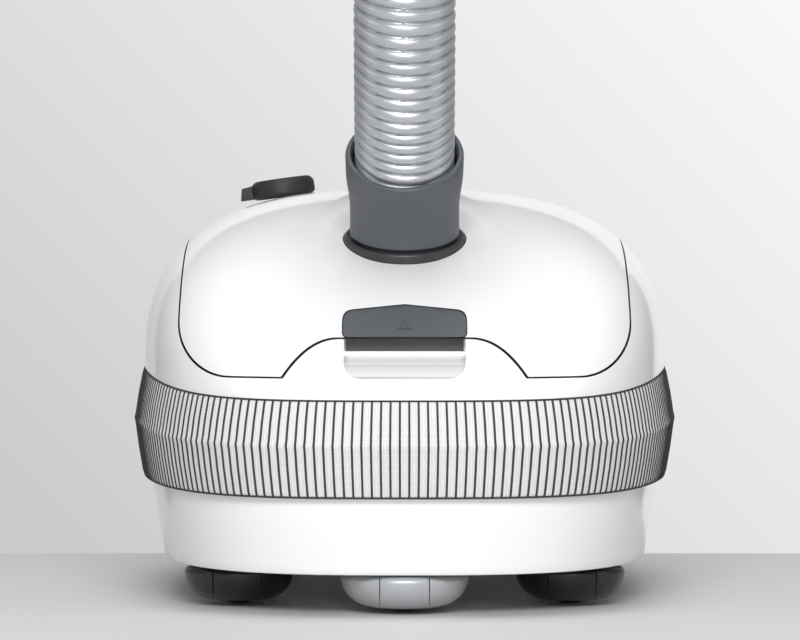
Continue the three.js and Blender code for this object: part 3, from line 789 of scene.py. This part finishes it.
# ---- casing --------------------------------------------------------------------------------------
@dataclass
class Outline:
    """The casing's plan outline and its domed top, in millimetres."""

    half: float = 142.5
    front: float = 230.0
    rear: float = 170.0
    centre_y: float = 30.0
    front_y: float = -200.0
    power: float = 2.8
    crest_y: float = 70.0
    crest_z: float = 212.0
    belt_inset: float = 5.0
    belt_depth: float = 7.0
    belt_bottom: float = 58.7
    belt_ridge: float = 83.9
    belt_top: float = 105.7
    climbs: tuple[float, float, float] = (4.0, 8.0, 12.0)
    steps: int = 220

    def rise(self, y: float) -> float:
        """Return how far the belt has climbed at a place along the machine, from 0 to 1."""
        t = min(1.0, max(0.0, (y - self.front_y) / 170.0))
        return t * t * (3 - 2 * t)

    def ring(self, inset: float, z: float, climb: float = 0.0) -> list[Vector]:
        """Make one plan outline.

        Args:
            inset: how far it lies inside the belt's ridge.
            z: its height at the front.
            climb: how much higher it lies along the sides.

        Returns:
            Its points in metres.
        """
        points = []
        for i in range(self.steps):
            cosine, sine = self.direction(i)
            length = (self.front if sine < 0 else self.rear) - inset
            x = math.copysign(abs(cosine) ** (2 / self.power), cosine) * (self.half - inset)
            y = self.centre_y + math.copysign(abs(sine) ** (2 / self.power), sine) * length
            points.append(Vector((x, y, z + climb * self.rise(y))) * MM)
        return points

    def direction(self, i: int) -> tuple[float, float]:
        """Return the cosine and sine of step i, spread so that the steps are of like length."""
        angle = (i + 0.5) / self.steps * 2 * math.pi
        quarter, share = divmod(angle, math.pi / 2)
        eased = share / (math.pi / 2)
        eased = 0.5 * eased + 0.5 * (eased ** 2 * (3 - 2 * eased))
        angle = (quarter + eased) * math.pi / 2
        return math.cos(angle), math.sin(angle)

    def dome_ring(self, share: float, inset: float) -> list[Vector]:
        """Make one ring of the domed top.

        Args:
            share: 1 at the edge above the belt and 0 at the crest.
            inset: how far it lies inside the outer skin.

        Returns:
            Its points in metres.
        """
        points = []
        for i, edge in enumerate(self.ring(self.belt_inset + inset, self.belt_top, self.climbs[2])):
            sine = self.direction(i)[1]
            power = 2.75 + ((1.5 if sine < 0 else 2.3) - 2.75) * sine ** 2
            height = (1 - share ** power) ** (1 / power)
            centre = (self.crest_y + (self.centre_y - self.crest_y) * share) * MM
            top = (self.crest_z - inset) * MM
            points.append(Vector((
                edge.x * share, centre + (edge.y - self.centre_y * MM) * share,
                edge.z + (top - edge.z) * height + 0.6 * MM,
            )))
        return points

    def dome(self, name: str, inset: float) -> Piece:
        """Make the domed top as a full solid.

        Args:
            name: its name.
            inset: how far it lies inside the outer skin.

        Returns:
            The solid; an inner one starts lower, so that cutting it out leaves an open skirt.
        """
        start = self.belt_ridge + (-12 if inset > 0 else 0.3)
        waist = self.belt_inset + self.belt_depth + inset
        rings = [
            self.ring(waist, start, self.climbs[1]),
            self.ring(waist, self.belt_top + 0.2 + inset / 3, self.climbs[2]),
        ]
        levels = 46
        shares = [math.cos(k / levels * math.pi / 2) ** 0.8 for k in range(levels)]
        rings += [self.dome_ring(share, inset) for share in shares]
        return lofted(name, rings)


def mirrored(points: Sequence[tuple[float, float]]) -> list[tuple[float, float]]:
    """Return the right half of an outline and its mirror image."""
    return list(points) + [(-x, z) for x, z in reversed(points)]


@dataclass
class LidShape:
    """The front-view outlines of the lid and of its latch button, in millimetres."""

    half: float = 113.8
    bottom: float = 117.0
    corner: float = 27.0
    rear_y: float = 68.0
    notch_half: float = 60.0
    notch_flat: float = 32.0
    notch_top: float = 136.0
    button_half: float = 30.5
    button_bottom: float = 136.6
    button_shoulder: float = 149.0
    button_apex: float = 152.0

    def lid(self, grow: float) -> list[tuple[float, float]]:
        """Return the lid's outline, grown by a gap."""
        corner = []
        for i in range(17):
            angle = i / 16 * math.pi / 2
            corner.append((
                self.half + grow - self.corner + self.corner * math.sin(angle),
                self.bottom - grow + self.corner - self.corner * math.cos(angle),
            ))
        notch = []
        for i in range(15):
            t = i / 14
            x = self.notch_flat + (self.notch_half - self.notch_flat) * t - grow
            notch.append((x, self.notch_top - grow - (self.notch_top - self.bottom) * t ** 2.2))
        return mirrored([*notch, *corner, (self.half + grow, 260.0)])

    def button(self, grow: float) -> list[tuple[float, float]]:
        """Return the latch button's roof-shaped outline, grown by a gap."""
        wide, low, high = self.button_half + grow, self.button_bottom - grow, self.button_shoulder + grow
        corners = [(0.0, low, 0.0), (wide, low, 3.0), (wide, high, 5.0), (0.0, self.button_apex + grow, 0.0)]
        half = [p for p in arc_through(corners, 6) if p[0] > 0.01]
        return mirrored([(0.02, low), *half, (0.02, self.button_apex + grow)])


@dataclass
class Casing:
    """The white shells, the lid with its latch, and the textile bumper belt."""

    outline: Outline = field(default_factory=Outline)
    shape: LidShape = field(default_factory=LidShape)
    wall: float = 3.0
    gap: float = 0.45
    hinge_y: float = 69.6
    hinge_z: float = 209.0

    def build(self) -> None:
        """Make every part of the casing."""
        white = GLOSS_WHITE.make()
        outer = self.outline.dome("outer", 0.0)
        inner = self.outline.dome("inner", self.wall)
        skin = copied(outer, "skin")
        carve(skin, inner)
        self.upper_shell(copied(skin, "upper_shell_moulding"), outer, white)
        self.lid(skin, white)
        self.latch()
        self.lower_shell(white)
        self.belt()
        bpy.data.objects.remove(outer)

    def upper_shell(self, shell: Piece, outer: Piece, white: Material) -> None:
        """Cut the lid's opening and the finger recess into the upper shell, and hang a sheet of painted shade
        at the back of the recess.

        Args:
            shell: the domed wall.
            outer: the full dome, which bounds the recess.
            white: the shell's material.
        """
        near, rear = self.outline.front_y - 30, self.shape.rear_y
        half = self.shape.button_half - 0.5
        pocket = through_y("pocket", self.recess(half + 2.5, 113.0), near, -157.5)
        carve(pocket, outer, "INTERSECT", keep=True)
        carve(shell, through_y("opening", self.shape.lid(self.gap), near, rear + self.gap))
        carve(shell, block("trough", (-47, rear - 1, 200), (47, self.hinge_y + 3.4, 221)))
        carve(shell, block("relief", (-85, rear - 1, 190), (85, self.hinge_y - 0.1, 221)))
        carve(shell, pocket, "UNION")
        scoop = through_y("recess", self.recess(half, 116.5), near - 10, -160)
        carve(scoop, self.scoop_profile(), "INTERSECT")
        carve(shell, scoop)
        carve(shell, block("catch", (-9, -166, 135.6), (9, -150, 139)))
        for side in (-1, 1):
            carve(shell, self.knuckle(side * 38.0, 7.0, self.hinge_y - 0.5, self.hinge_y + 6), "UNION")
        carve(shell, self.cutter_rod("knob_hole", 5.0, leaning(*KNOB_PLACE, 0, KNOB_LEAN), -20, 10))
        carve(shell, self.cutter_rod("rewind_hole", 15.4, leaning(*REWIND_PLACE, 0.0), 150, 230))
        smoothed(shell)
        dressed(shell, white, "root", ["upper_shell"])
        # A dark grey sheet at the back of the finger recess, under the button, is painted shade: it stands in
        # for the shadow that falls there.
        painted_shade_sheet = block("recess_painted_shade", (0.8 - half, -160.7, 129.4), (half - 0.8, -159.9, 136.0))
        dressed(painted_shade_sheet, RECESS_SHADE_GREY.make(), "root")

    @staticmethod
    def scoop_profile() -> Piece:
        """Make the scoop's section: a wall at the top that curves out to the surface at the bottom."""
        section = arc_through([
            (-240.0, 141, 0), (-160, 141, 0), (-160, 125.5, 3.8),
            (-177, 121.5, 9), (-196, 112.5, 3), (-240, 100, 0),
        ], 8)
        return lofted("scoop", [[Vector((x, y, z)) * MM for y, z in section] for x in (-60, 60)])

    def recess(self, half: float, bottom: float) -> list[tuple[float, float]]:
        """Return the finger recess's outline with its rounded lower corners."""
        top = self.shape.notch_top - self.gap - 0.2 if bottom < 115 else self.shape.notch_top + 4
        corners = [(-half, bottom, 9.0), (half, bottom, 9.0), (half, top, 0.0), (-half, top, 0.0)]
        return arc_through(corners, 8)

    def knuckle(self, x: float, half: float, y0: float, y1: float) -> Piece:
        """Make one hinge knuckle with its web, round the pin's bore."""
        barrel = turned("knuckle", [(1.35, -half), (2.7, -half), (2.7, half), (1.35, half)],
                        along_x(x, self.hinge_y, self.hinge_z), 24)
        web_start, web_end = (y0, self.hinge_y - 2.2) if y0 < self.hinge_y - 3 else (self.hinge_y + 2.2, y1)
        web = block("web", (x - half, web_start, self.hinge_z - 1.6), (x + half, web_end, self.hinge_z + 1.4))
        carve(barrel, web, "UNION")
        return barrel

    @staticmethod
    def cutter_rod(name: str, radius: float, place: Matrix, low: float, high: float) -> Piece:
        """Make a round cutter."""
        rings = [
            [place @ (Vector((radius * math.cos(a), radius * math.sin(a), z)) * MM)
             for a in (2 * math.pi * k / 64 for k in range(64))]
            for z in (low, high)
        ]
        return lofted(name, rings)

    def lid(self, panel: Piece, white: Material) -> None:
        """Cut the lid out of the domed wall, with its port and its latch hole.

        Args:
            panel: the domed wall.
            white: the shell's material.
        """
        near, rear = self.outline.front_y - 30, self.shape.rear_y
        carve(panel, through_y("cut", self.shape.lid(-self.gap), near, rear), "INTERSECT")
        carve(panel, block("trough", (-46, self.hinge_y - 3.2, 200), (46, rear + 5, 221)))
        for side in (-1, 1):
            carve(panel, self.knuckle(side * 20.0, 10.5, self.hinge_y - 6, self.hinge_y), "UNION")
        carve(panel, self.cutter_rod("port", 31.9, leaning(*PORT, PORT_TILT), -25, 15))
        carve(panel, through_y("latch_hole", self.shape.button(self.gap), near, -100))
        self.brow(panel)
        panel.name = panel.data.name = "lid_panel"
        smoothed(panel)
        dressed(panel, white, "lid", ["lid"])

    def brow(self, piece: Piece) -> None:
        """Flare a piece outwards where it comes close above the lid's arch."""
        shape = self.shape
        for vertex in piece.data.vertices:
            x, y, z = vertex.co / MM
            if y > -100 or abs(x) > shape.notch_half + 12:
                continue
            t = min(1.0, max(0.0, (abs(x) - shape.notch_flat) / (shape.notch_half - shape.notch_flat)))
            edge = shape.notch_top - (shape.notch_top - shape.bottom) * t ** 2.2
            near = min(1.0, max(0.0, 1 - (z - edge) / 19.0))
            fade = min(1.0, max(0.0, (shape.notch_half + 12 - abs(x)) / 14.0))
            vertex.co.y -= 2.6 * MM * near * near * fade

    def latch(self) -> None:
        """Make the latch button with its raised triangle, hook and guide."""
        plate = self.outline.dome("latch_push", -0.9)
        carve(plate, self.outline.dome("hollow", self.wall + 1.2))
        carve(plate, through_y("cut", self.shape.button(0.0), self.outline.front_y - 40, -100), "INTERSECT")
        smoothed(plate)
        rounded(plate, 0.5, 2, 50)
        self.brow(plate)
        smoothed(plate, 40)
        grey = GREY.make()
        dressed(plate, grey, "latch", ["latch_button"])
        hook = block("latch_hook", (-7, -158.5, 136.2), (7, -151, 143))
        carve(hook, block("bar", (-14, -158, 140), (14, -139, 145)), "UNION")
        carve(hook, self.outline.dome("inside", self.wall + 1.0), "INTERSECT")
        dressed(smoothed(hook), grey, "latch")
        self.triangle(grey)

    def triangle(self, grey: Material) -> None:
        """Raise an open triangle on the latch button."""
        centre, height, band = 143.4, 3.6, 0.75
        outside = [(0.0, centre + height), (height, centre - height * 0.8), (-height, centre - height * 0.8)]
        inside = [(x * (1 - band / 2), centre + (z - centre) * (1 - band / 2) - 0.2) for x, z in outside]
        mark = through_y("latch_mark", outside, -190, -120)
        carve(mark, through_y("cut", inside, -195, -115))
        carve(mark, self.outline.dome("over", -1.35), "INTERSECT")
        carve(mark, self.outline.dome("under", -0.5))
        self.brow(mark)
        dressed(smoothed(mark), grey, "latch")

    def lower_shell(self, white: Material) -> None:
        """Make the lower shell with its rounded foot, its front panel and its castor wells."""
        o = self.outline
        climb = o.climbs[0]
        levels = [
            (17.5, 20.0, 0.0), (15.9, 20.4, 0.0), (15.2, 21.6, 0.0), (14.6, 25.0, 0.4), (12.9, 33.0, 1.2),
            (11.0, 43.0, 2.4), (9.6, 52.0, 3.4), (9.0, 57.9, climb), (12.0, 58.3, climb), (12.0, 83.6, 8.0),
        ]
        shell = lofted("lower_shell_moulding", [o.ring(*level) for level in levels])
        carve(shell, lofted("inside", [o.ring(18, 39), o.ring(16, 58.7), o.ring(15, 104)]))
        carve(shell, lofted("under", [o.ring(20, 15), o.ring(19, 36)]))
        for name in CASTOR_PLACES:
            x, y, _ = middle_of(f"{name}_hood")
            boss = turned("boss", [(4.5, 36.5), (8, 36.5), (8, 54), (4.5, 54)], leaning(x, y, 0), 32)
            carve(shell, boss, "UNION")
            carve(shell, self.cutter_rod("bore", 4.5, leaning(x, y, 0), 34, 60))
        x, _, z = middle_of("cord_outlet")
        carve(shell, self.cutter_rod("outlet", 9.0, leaning(x, 184, z, math.pi / 2), -16, 16))
        self.front_panel(shell, levels[1:9])
        smoothed(shell)
        dressed(shell, white, "root", ["lower_shell"])

    def front_panel(self, shell: Piece, levels: Sequence[tuple[float, float, float]]) -> None:
        """Press a shallow panel with rounded corners into the middle of the lower shell's front.

        Args:
            shell: the lower shell.
            levels: the inset, height and climb of its outside rings.
        """
        o = self.outline
        skin = lofted("panel_skin", [o.ring(*level) for level in levels])
        carve(skin, lofted("panel_floor", [o.ring(inset + 1.0, z, climb) for inset, z, climb in levels]))
        outline = arc_through([(-61, 23.5, 13), (61, 23.5, 13), (61, 70, 0), (-61, 70, 0)], 8)
        carve(skin, through_y("panel_outline", outline, o.front_y - 40, -120), "INTERSECT")
        carve(shell, skin)

    def belt(self) -> None:
        """Make the V-shaped textile belt and its raised stripes."""
        profile = [
            (5.6, 0, 0), (4.9, 0, 0.25), (4.6, 0, 1.0), (4.2, 0, 2.2), (2.1, 0.5, 0), (0.55, 0.9, 0),
            (0.12, 1, -0.8), (0, 1, 0), (0.12, 1, 0.8), (0.55, 1.1, 0), (2.1, 1.5, 0), (4.2, 2, -2.2),
            (4.6, 2, -1.0), (4.9, 2, -0.25), (5.6, 2, 0), (11.5, 2, 0), (11.5, 0, 0),
        ]
        fine = Outline(steps=STRIPES * 4)
        rings = [fine.ring(inset, *self.belt_level(share, extra)) for inset, share, extra in profile]
        belt = lofted("bumper_belt_cloth", rings, closed=True)
        self.unwrap(belt, fine)
        smoothed(belt, 50)
        dressed(belt, TEXTILE.make(), "root", ["bumper_belt"])
        self.stripes(fine, profile[1:14])
        for share in (0, 2):
            self.piping(fine, share)

    def belt_level(self, share: float, extra: float) -> tuple[float, float]:
        """Return the height and the climb of a line that runs round the belt.

        Args:
            share: 0 at its lower edge, 1 at its ridge and 2 at its upper edge.
            extra: millimetres above that.

        Returns:
            The height at the front and the climb to the sides.
        """
        o = self.outline
        heights, climbs = (o.belt_bottom, o.belt_ridge, o.belt_top), o.climbs
        low = min(1, int(share))
        part = share - low
        height = heights[low] + (heights[low + 1] - heights[low]) * part
        return height + extra, climbs[low] + (climbs[low + 1] - climbs[low]) * part

    @staticmethod
    def unwrap(belt: Piece, outline: Outline) -> None:
        """Lay the belt's cloth flat in metres, along its length and its height."""
        layer = belt.data.uv_layers.new(name="cloth")
        for loop in belt.data.loops:
            place = belt.data.vertices[loop.vertex_index].co
            angle = math.atan2(place.y - outline.centre_y * MM, place.x)
            layer.data[loop.index].uv = (angle * 0.165, place.z)

    def piping(self, fine: Outline, share: int) -> None:
        """Run a thin dark cord along one edge of the belt."""
        side = 1 if share else -1
        rings = []
        for k in range(8):
            angle = 2 * math.pi * k / 8
            inset, extra = 4.95 + 0.42 * math.cos(angle), side * 0.1 + 0.5 * math.sin(angle)
            rings.append(fine.ring(inset, *self.belt_level(share, extra)))
        cord = smoothed(lofted(f"belt_piping_{'upper' if share else 'lower'}", rings, closed=True), 80)
        dressed(cord, STRIPE.make(), "root")

    def stripes(self, fine: Outline, profile: Sequence[tuple[float, float, float]]) -> None:
        """Sew thin raised stripes over the belt, evenly along its length."""
        proud, half = 0.4, 0.52
        lines = [fine.ring(inset - proud, *self.belt_level(share, extra)) for inset, share, extra in profile]
        under = [fine.ring(inset + 0.15, *self.belt_level(share, extra)) for inset, share, extra in profile]
        middle = lines[len(lines) // 2]
        travelled = [0.0]
        for a, b in zip(middle, middle[1:] + middle[:1]):
            travelled.append(travelled[-1] + (b - a).length)
        front = self.front_distance(middle, travelled)
        points, faces = [], []
        pitch = travelled[-1] / STRIPES
        for stripe in range(STRIPES):
            centre = front + (stripe + 0.5) * pitch
            columns = [self.at(lines, travelled, centre + side * half * MM) for side in (-1, 1)]
            inner = [self.at(under, travelled, centre + side * half * MM) for side in (-1, 1)]
            base, count = len(points), len(profile)
            for column in (inner[0], columns[0], columns[1], inner[1]):
                points += column
            for strip in range(3):
                for k in range(count - 1):
                    a = base + strip * count + k
                    faces.append((a, a + count, a + count + 1, a + 1))
            for k in range(count - 1):
                a, d = base + k, base + 3 * count + k
                faces.append((d, a, a + 1, d + 1))
            for k in (0, count - 1):
                faces.append(tuple(base + strip * count + k for strip in range(4)))
        piece = piece_from("belt_stripes", points, faces)
        dressed(smoothed(piece, 40), STRIPE.make(), "root")

    @staticmethod
    def front_distance(middle: Sequence[Vector], travelled: Sequence[float]) -> float:
        """Return how far along the belt its front middle lies."""
        for i, (a, b) in enumerate(zip(middle, middle[1:])):
            if a.y < 0 and a.x <= 0 < b.x:
                return travelled[i] + (b - a).length * (-a.x / (b.x - a.x))
        return 0.0

    @staticmethod
    def at(lines: Sequence[Sequence[Vector]], travelled: Sequence[float], distance: float) -> list[Vector]:
        """Return the points of every line at a distance along the belt."""
        distance %= travelled[-1]
        low, high = 0, len(travelled) - 1
        while high - low > 1:
            middle = (low + high) // 2
            if travelled[middle] <= distance:
                low = middle
            else:
                high = middle
        part = (distance - travelled[low]) / (travelled[high] - travelled[low])
        count = len(lines[0])
        return [line[low % count].lerp(line[high % count], part) for line in lines]


# ---- swivel --------------------------------------------------------------------------------------
@dataclass
class SwivelFitting:
    """The collar in the lid and the elbow that turns in it and holds the hose."""

    bend: tuple[float, float] = (-78.8, 208.0)
    mouth: tuple[float, float] = (-97.0, 229.0)
    sides: int = 96

    def build(self) -> None:
        """Make the collar, the elbow and the retainer."""
        place = leaning(*PORT, PORT_TILT)
        collar = arc_through([
            (26.0, -16, 0), (29, -16, 0), (29, -10, 0.8), (36, -10, 0.6), (36, -6.4, 0.6), (31.4, -6.4, 0.8),
            (31.4, 4.2, 1.6), (29.6, 5.0, 0.6), (28.9, 3.9, 0.4), (26, 3.9, 0.4),
        ])
        piece = smoothed(turned("swivel_collar_ring", collar, place, 96), 40)
        dressed(piece, COLLAR_BLACK.make(), "lid", ["swivel_collar"])
        elbow = lofted("swivel_elbow_tube", self.elbow_rings(), closed=True)
        dressed(smoothed(elbow, 40), GREY.make(), "swivel", ["swivel_elbow"])
        retainer = arc_through([(21.4, -23, 0.5), (28.5, -23, 0.8), (28.5, -19.4, 0.8), (21.4, -19.4, 0.5)])
        piece = smoothed(turned("swivel_retainer_ring", retainer, place, 64), 40)
        dressed(piece, INNER_DARK.make(), "swivel", ["swivel_retainer"])

    def elbow_rings(self) -> list[list[Vector]]:
        """Return the elbow's rings, up its outside, over its rim and down its bore."""
        outside = [
            (-0.62, 25.3), (-0.02, 25.3), (0.0, 25.6), (0.012, 27.6), (0.03, 28.2), (0.1, 28.1),
            (0.28, 28.05), (0.42, 28.2), (0.52, 28.6), (0.62, 29.3), (0.7, 29.8), (0.8, 30.1),
            (0.94, 30.2), (0.975, 30.15), (0.992, 29.8), (1.0, 29.2),
        ]
        bore = [
            (1.0, 27.9), (0.985, 27.2), (0.9, 26.9), (0.56, 26.9), (0.55, 22.6), (0.1, 21.0), (-0.62, 21.0),
        ]
        return [self.ring(t, radius) for t, radius in outside + bore]

    def ring(self, t: float, radius: float) -> list[Vector]:
        """Return one ring of the elbow.

        Args:
            t: 0 at the collar and 1 at the mouth; below 0 it runs straight down the neck.
            radius: its radius in millimetres.

        Returns:
            Its points in metres.
        """
        start = Vector(PORT) + lean_axis(PORT_TILT) * 5.4
        middle, end = Vector((0, *self.bend)), Vector((0, *self.mouth))
        clamped = max(0.0, t)
        centre = start * (1 - clamped) ** 2 + middle * (2 * clamped * (1 - clamped)) + end * clamped ** 2
        along = ((middle - start) * (1 - clamped) + (end - middle) * clamped).normalized()
        if t < 0:
            centre = start + along * t * 40
        across = Vector((0, along.z, -along.y))
        points = []
        for k in range(self.sides):
            angle = 2 * math.pi * k / self.sides
            aside = Vector((radius * math.cos(angle), 0, 0))
            points.append((centre + aside + across * radius * math.sin(angle)) * MM)
        return points


# ---- controls ------------------------------------------------------------------------------------
@dataclass
class Controls:
    """The power knob and the rewind button."""

    knob_radius: float = 17.5
    knob_height: float = 11.5

    def build(self) -> None:
        """Make both controls."""
        self.power_knob()
        self.rewind_button()

    def power_knob(self) -> None:
        """Make the knob: a chamfered disc with a pointer on its left, on its shaft."""
        place = leaning(*KNOB_PLACE, 0, KNOB_LEAN)
        r, top = self.knob_radius, self.knob_height
        profile = arc_through([
            (0.01, 1.2, 0), (15.2, 1.2, 0.6), (r, 2.6, 1.2),
            (r, top - 2.6, 1.4), (r - 2.4, top, 1.6), (0.01, top - 0.5, 0),
        ], 6)
        disc = turned("power_knob_cap", profile, place, 96)
        tip, height = -r - 6.4, top - 2.8
        outline = [(tip, 2.0), (tip + 8, 2.0), (tip + 10, height + 1.2), (tip + 1.2, height)]
        pointer = through_y("pointer", outline, -4.5, 4.5)
        pointer.data.transform(place)
        carve(disc, pointer, "UNION")
        carve(disc, Casing.cutter_rod("shaft", 3.0, place, -24, 3), "UNION")
        rounded(disc, 0.6, 3, 60)
        dressed(smoothed(disc, 40), KNOB_BLACK.make(), "knob", ["power_knob"])

    def rewind_button(self) -> None:
        """Make the low round button and its stem, following the dome."""
        outline = Outline()
        cap = outline.dome("rewind_cap", -1.6)
        carve(cap, outline.dome("hollow", 3.0))
        carve(cap, Casing.cutter_rod("edge", 15.0, leaning(*REWIND_PLACE, 0.0), 150, 230), "INTERSECT")
        stem = Casing.cutter_rod("stem", 4.0, leaning(*REWIND_PLACE, 0.0), 178, 206)
        carve(cap, stem, "UNION")
        rounded(cap, 0.5, 2, 50)
        dressed(smoothed(cap, 40), GREY.make(), "rewind", ["rewind_button"])


# ---- castors -------------------------------------------------------------------------------------
@dataclass
class Castor:
    """One hooded castor: a round hood that swivels and the wheel in its slot."""

    name: str
    finish: Plastic
    slot: str
    wheel_radius: float = 14.0
    wheel_width: float = 15.3
    slot_half: float = 9.4
    slot_reach: float = 16.5
    slot_top: float = 30.6
    joint_line: float = 12.2

    def build(self) -> None:
        """Make the hood and its wheel."""
        x, y, _ = middle_of(f"{self.name}_hood")
        low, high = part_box(f"{self.name}_hood")
        radius = round((high[1] - low[1]) / 2 / MM)
        _, wheel_y, _ = middle_of(f"{self.name}_wheel")
        self.hood(x, y, radius, wheel_y)
        self.wheel(x, wheel_y)

    def hood(self, x: float, y: float, r: float, wheel_y: float) -> None:
        """Make the hood with its wheel slot.

        Args:
            x: the swivel axis.
            y: the swivel axis.
            r: the hood's radius.
            wheel_y: the wheel's centre.
        """
        profile = arc_through([
            (0.01, 2.2, 0), (0.5 * r, 2.2, 3), (0.72 * r, 3.9, 4), (0.88 * r, 7.8, 4),
            (0.97 * r, 12.6, 4), (r, 17.2, 2), (0.93 * r, 19.2, 1.5), (0.72 * r, 20, 1),
            (0.7 * r, 34, 1.5), (4, 34, 0), (4, 52, 0.6), (0.01, 52, 0),
        ], 4)
        hood = turned(f"{self.name}_shroud", profile, leaning(x, y, 0), 72)
        half, reach = self.slot_half, self.slot_reach
        slot = block("slot", (x - half, wheel_y - reach, -1), (x + half, wheel_y + reach, self.slot_top))
        carve(hood, slot)
        carve(hood, Casing.cutter_rod("bore", 2.4, along_x(x, wheel_y, self.wheel_radius), -14, 14))
        for side in (-1, 1):
            edge = x + side * self.joint_line
            carve(hood, block("joint_line", (edge - 0.25, y - r - 2, 1), (edge + 0.25, y - 0.45 * r, 18.5)))
        smoothed(hood, 36)
        dressed(hood, self.finish.make(), f"{self.name}_swivel", [f"{self.name}_hood"])

    def wheel(self, x: float, wheel_y: float) -> None:
        """Make the crowned wheel with its hub and its axle."""
        r, half = self.wheel_radius, self.wheel_width / 2
        profile = arc_through([
            (0.01, -13, 0), (2, -13, 0.4), (2, -half + 0.8, 0), (8.5, -half + 0.8, 0.5), (10, -half, 0.5),
            (r - 1.6, -half, 1.2), (r, -half + 3, 3), (r, half - 3, 3), (r - 1.6, half, 1.2),
            (10, half, 0.5), (8.5, half - 0.8, 0.5), (2, half - 0.8, 0), (2, 13, 0.4), (0.01, 13, 0),
        ], 4)
        wheel = turned(f"{self.name}_tyre", profile, along_x(x, wheel_y, r), 64)
        smoothed(wheel, 36)
        dressed(wheel, RUBBER.make(), f"{self.name}_roller", [f"{self.name}_wheel"])


# ---- inside --------------------------------------------------------------------------------------
@dataclass
class Interior:
    """What the casing holds: the frame's own solids in their finishes, and the filter bag."""

    finishes: dict[str, tuple[str, ...]] = field(default_factory=lambda: {
        "steel": ("lid_hinge_pin", "motor_bracket", "front_bearing",
                  "rear_bearing", "motor_can", "rotor", "reel_axle", "reel_spring"),
        "rubber": ("lid_seal", "front_motor_mount", "rear_motor_mount"),
        "dark": ("latch_bracket", "partition_wall", "fan_shroud", "front_motor_cradle", "rear_motor_cradle",
                 "reel_drum", "reel_bracket", "cord_outlet", "speed_potentiometer", "rewind_bracket",
                 "left_brush", "right_brush", "hose_cuff", "vent_slider"),
        "grey": ("bag_carrier", "hose_handle"),
        "paper": ("bag_collar",),
        "foam": ("motor_filter",),
        "copper": ("stator",),
        "board": ("control_board",),
    })

    def build(self) -> None:
        """Dress the frame's solids and make the bag."""
        made = {
            "steel": STEEL, "rubber": RUBBER, "dark": INNER_DARK, "grey": GREY, "paper": PAPER,
            "foam": FOAM, "copper": COPPER, "board": BOARD,
        }
        for key, nodes in self.finishes.items():
            material = made[key].make()
            for name in nodes:
                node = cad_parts[name]
                node.data.materials.clear()
                node.data.materials.append(material)
                LOG.info("%s keeps its own solid", name)
        self.dust_bag()

    def dust_bag(self) -> None:
        """Make the full paper bag: a soft pillow with pleated sides."""
        low, high = (Vector(v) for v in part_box("dust_bag"))
        centre, size = (low + high) / 2, high - low
        rings = []
        levels, sides = 40, 120
        for level in range(levels + 1):
            t = level / levels
            height = low.z + size.z * t
            fill = (1 - abs(2 * t - 1) ** 3.2) ** 0.42 if 0 < t < 1 else 0.0
            fill = 0.55 + 0.43 * fill
            front = low.y + size.y * 0.30 * max(0.0, t - 0.15)
            middle, half_y = (front + high.y) / 2, (high.y - front) / 2
            ring = []
            for k in range(sides):
                angle = 2 * math.pi * (k + 0.5) / sides
                fold = 0.022 * abs(math.sin(7 * angle + 2.5 * t))
                pleat = 1 - fold - 0.012 * math.sin(23 * angle + 9 * t) ** 2
                cosine, sine = math.cos(angle), math.sin(angle)
                x = math.copysign(abs(cosine) ** 0.72, cosine) * size.x / 2 * fill * pleat
                y = math.copysign(abs(sine) ** 0.72, sine) * half_y * fill * pleat
                ring.append(Vector((centre.x + x, middle + y, height)))
            rings.append(ring)
        bag = lofted("filter_bag", rings)
        dressed(smoothed(bag, 60), PAPER.make(), "root", ["dust_bag"])


@dataclass
class CoilSpring:
    """One compression spring, wound from round wire, behind its button."""

    node: str
    body: str
    joint: str
    foot: Point
    direction: Point
    length: float
    stroke: float
    radius: float
    wire: float
    turns: int = 6

    def build(self) -> None:
        """Wind the spring evenly from its foot along its axis."""
        axis = Vector(self.direction)
        side = Vector((1, 0, 0))
        other = axis.cross(side)
        steps, rings = self.turns * 20, []
        for i in range(steps + 1):
            angle = 2 * math.pi * i / 20
            out = side * math.cos(angle) + other * math.sin(angle)
            rise = self.wire + (self.length - 2 * self.wire) * i / steps
            centre = Vector(self.foot) + axis * rise + out * self.radius
            rings.append([
                (centre + (out * math.cos(turn) + axis * math.sin(turn)) * self.wire) * MM
                for turn in (2 * math.pi * k / 10 for k in range(10))
            ])
        coil = smoothed(lofted(f"{self.node}_coil", rings), 60)
        dressed(coil, STEEL.make(), self.body, [self.node])
        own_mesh(coil)


def springs() -> list[CoilSpring]:
    """Return the two springs behind the buttons."""
    return [
        CoilSpring(
            "latch_spring", "lid", "latch_press", (0, -127.7, 143), (0, -1, 0),
            length=8.8, stroke=3.0, radius=3.1, wire=0.4,
        ),
        CoilSpring(
            "rewind_spring", "root", "rewind_press", (66, 128, 164.6), (0, 0, 1),
            length=25.2, stroke=4.0, radius=5.5, wire=0.7, turns=7,
        ),
    ]


# ---- the machine ---------------------------------------------------------------------------------
def castors() -> list[Castor]:
    """Return the five castors, the silver one at the front middle."""
    out = []
    for name in CASTOR_PLACES:
        silver = name == "front_castor"
        finish, slot = (CASTOR_SILVER, "silver_plastic") if silver else (CASTOR_BLACK, "black_plastic")
        out.append(Castor(name, finish, slot))
    return out


def main() -> None:
    """Build the studio and the machine, piece by piece."""
    logging.basicConfig(level=logging.INFO, format="%(message)s")
    Studio().build()
    for part in (Hose(), Casing(), SwivelFitting(), Controls(), *castors(), *springs(), Interior()):
        part.build()


if __name__ == "__main__":
    main()
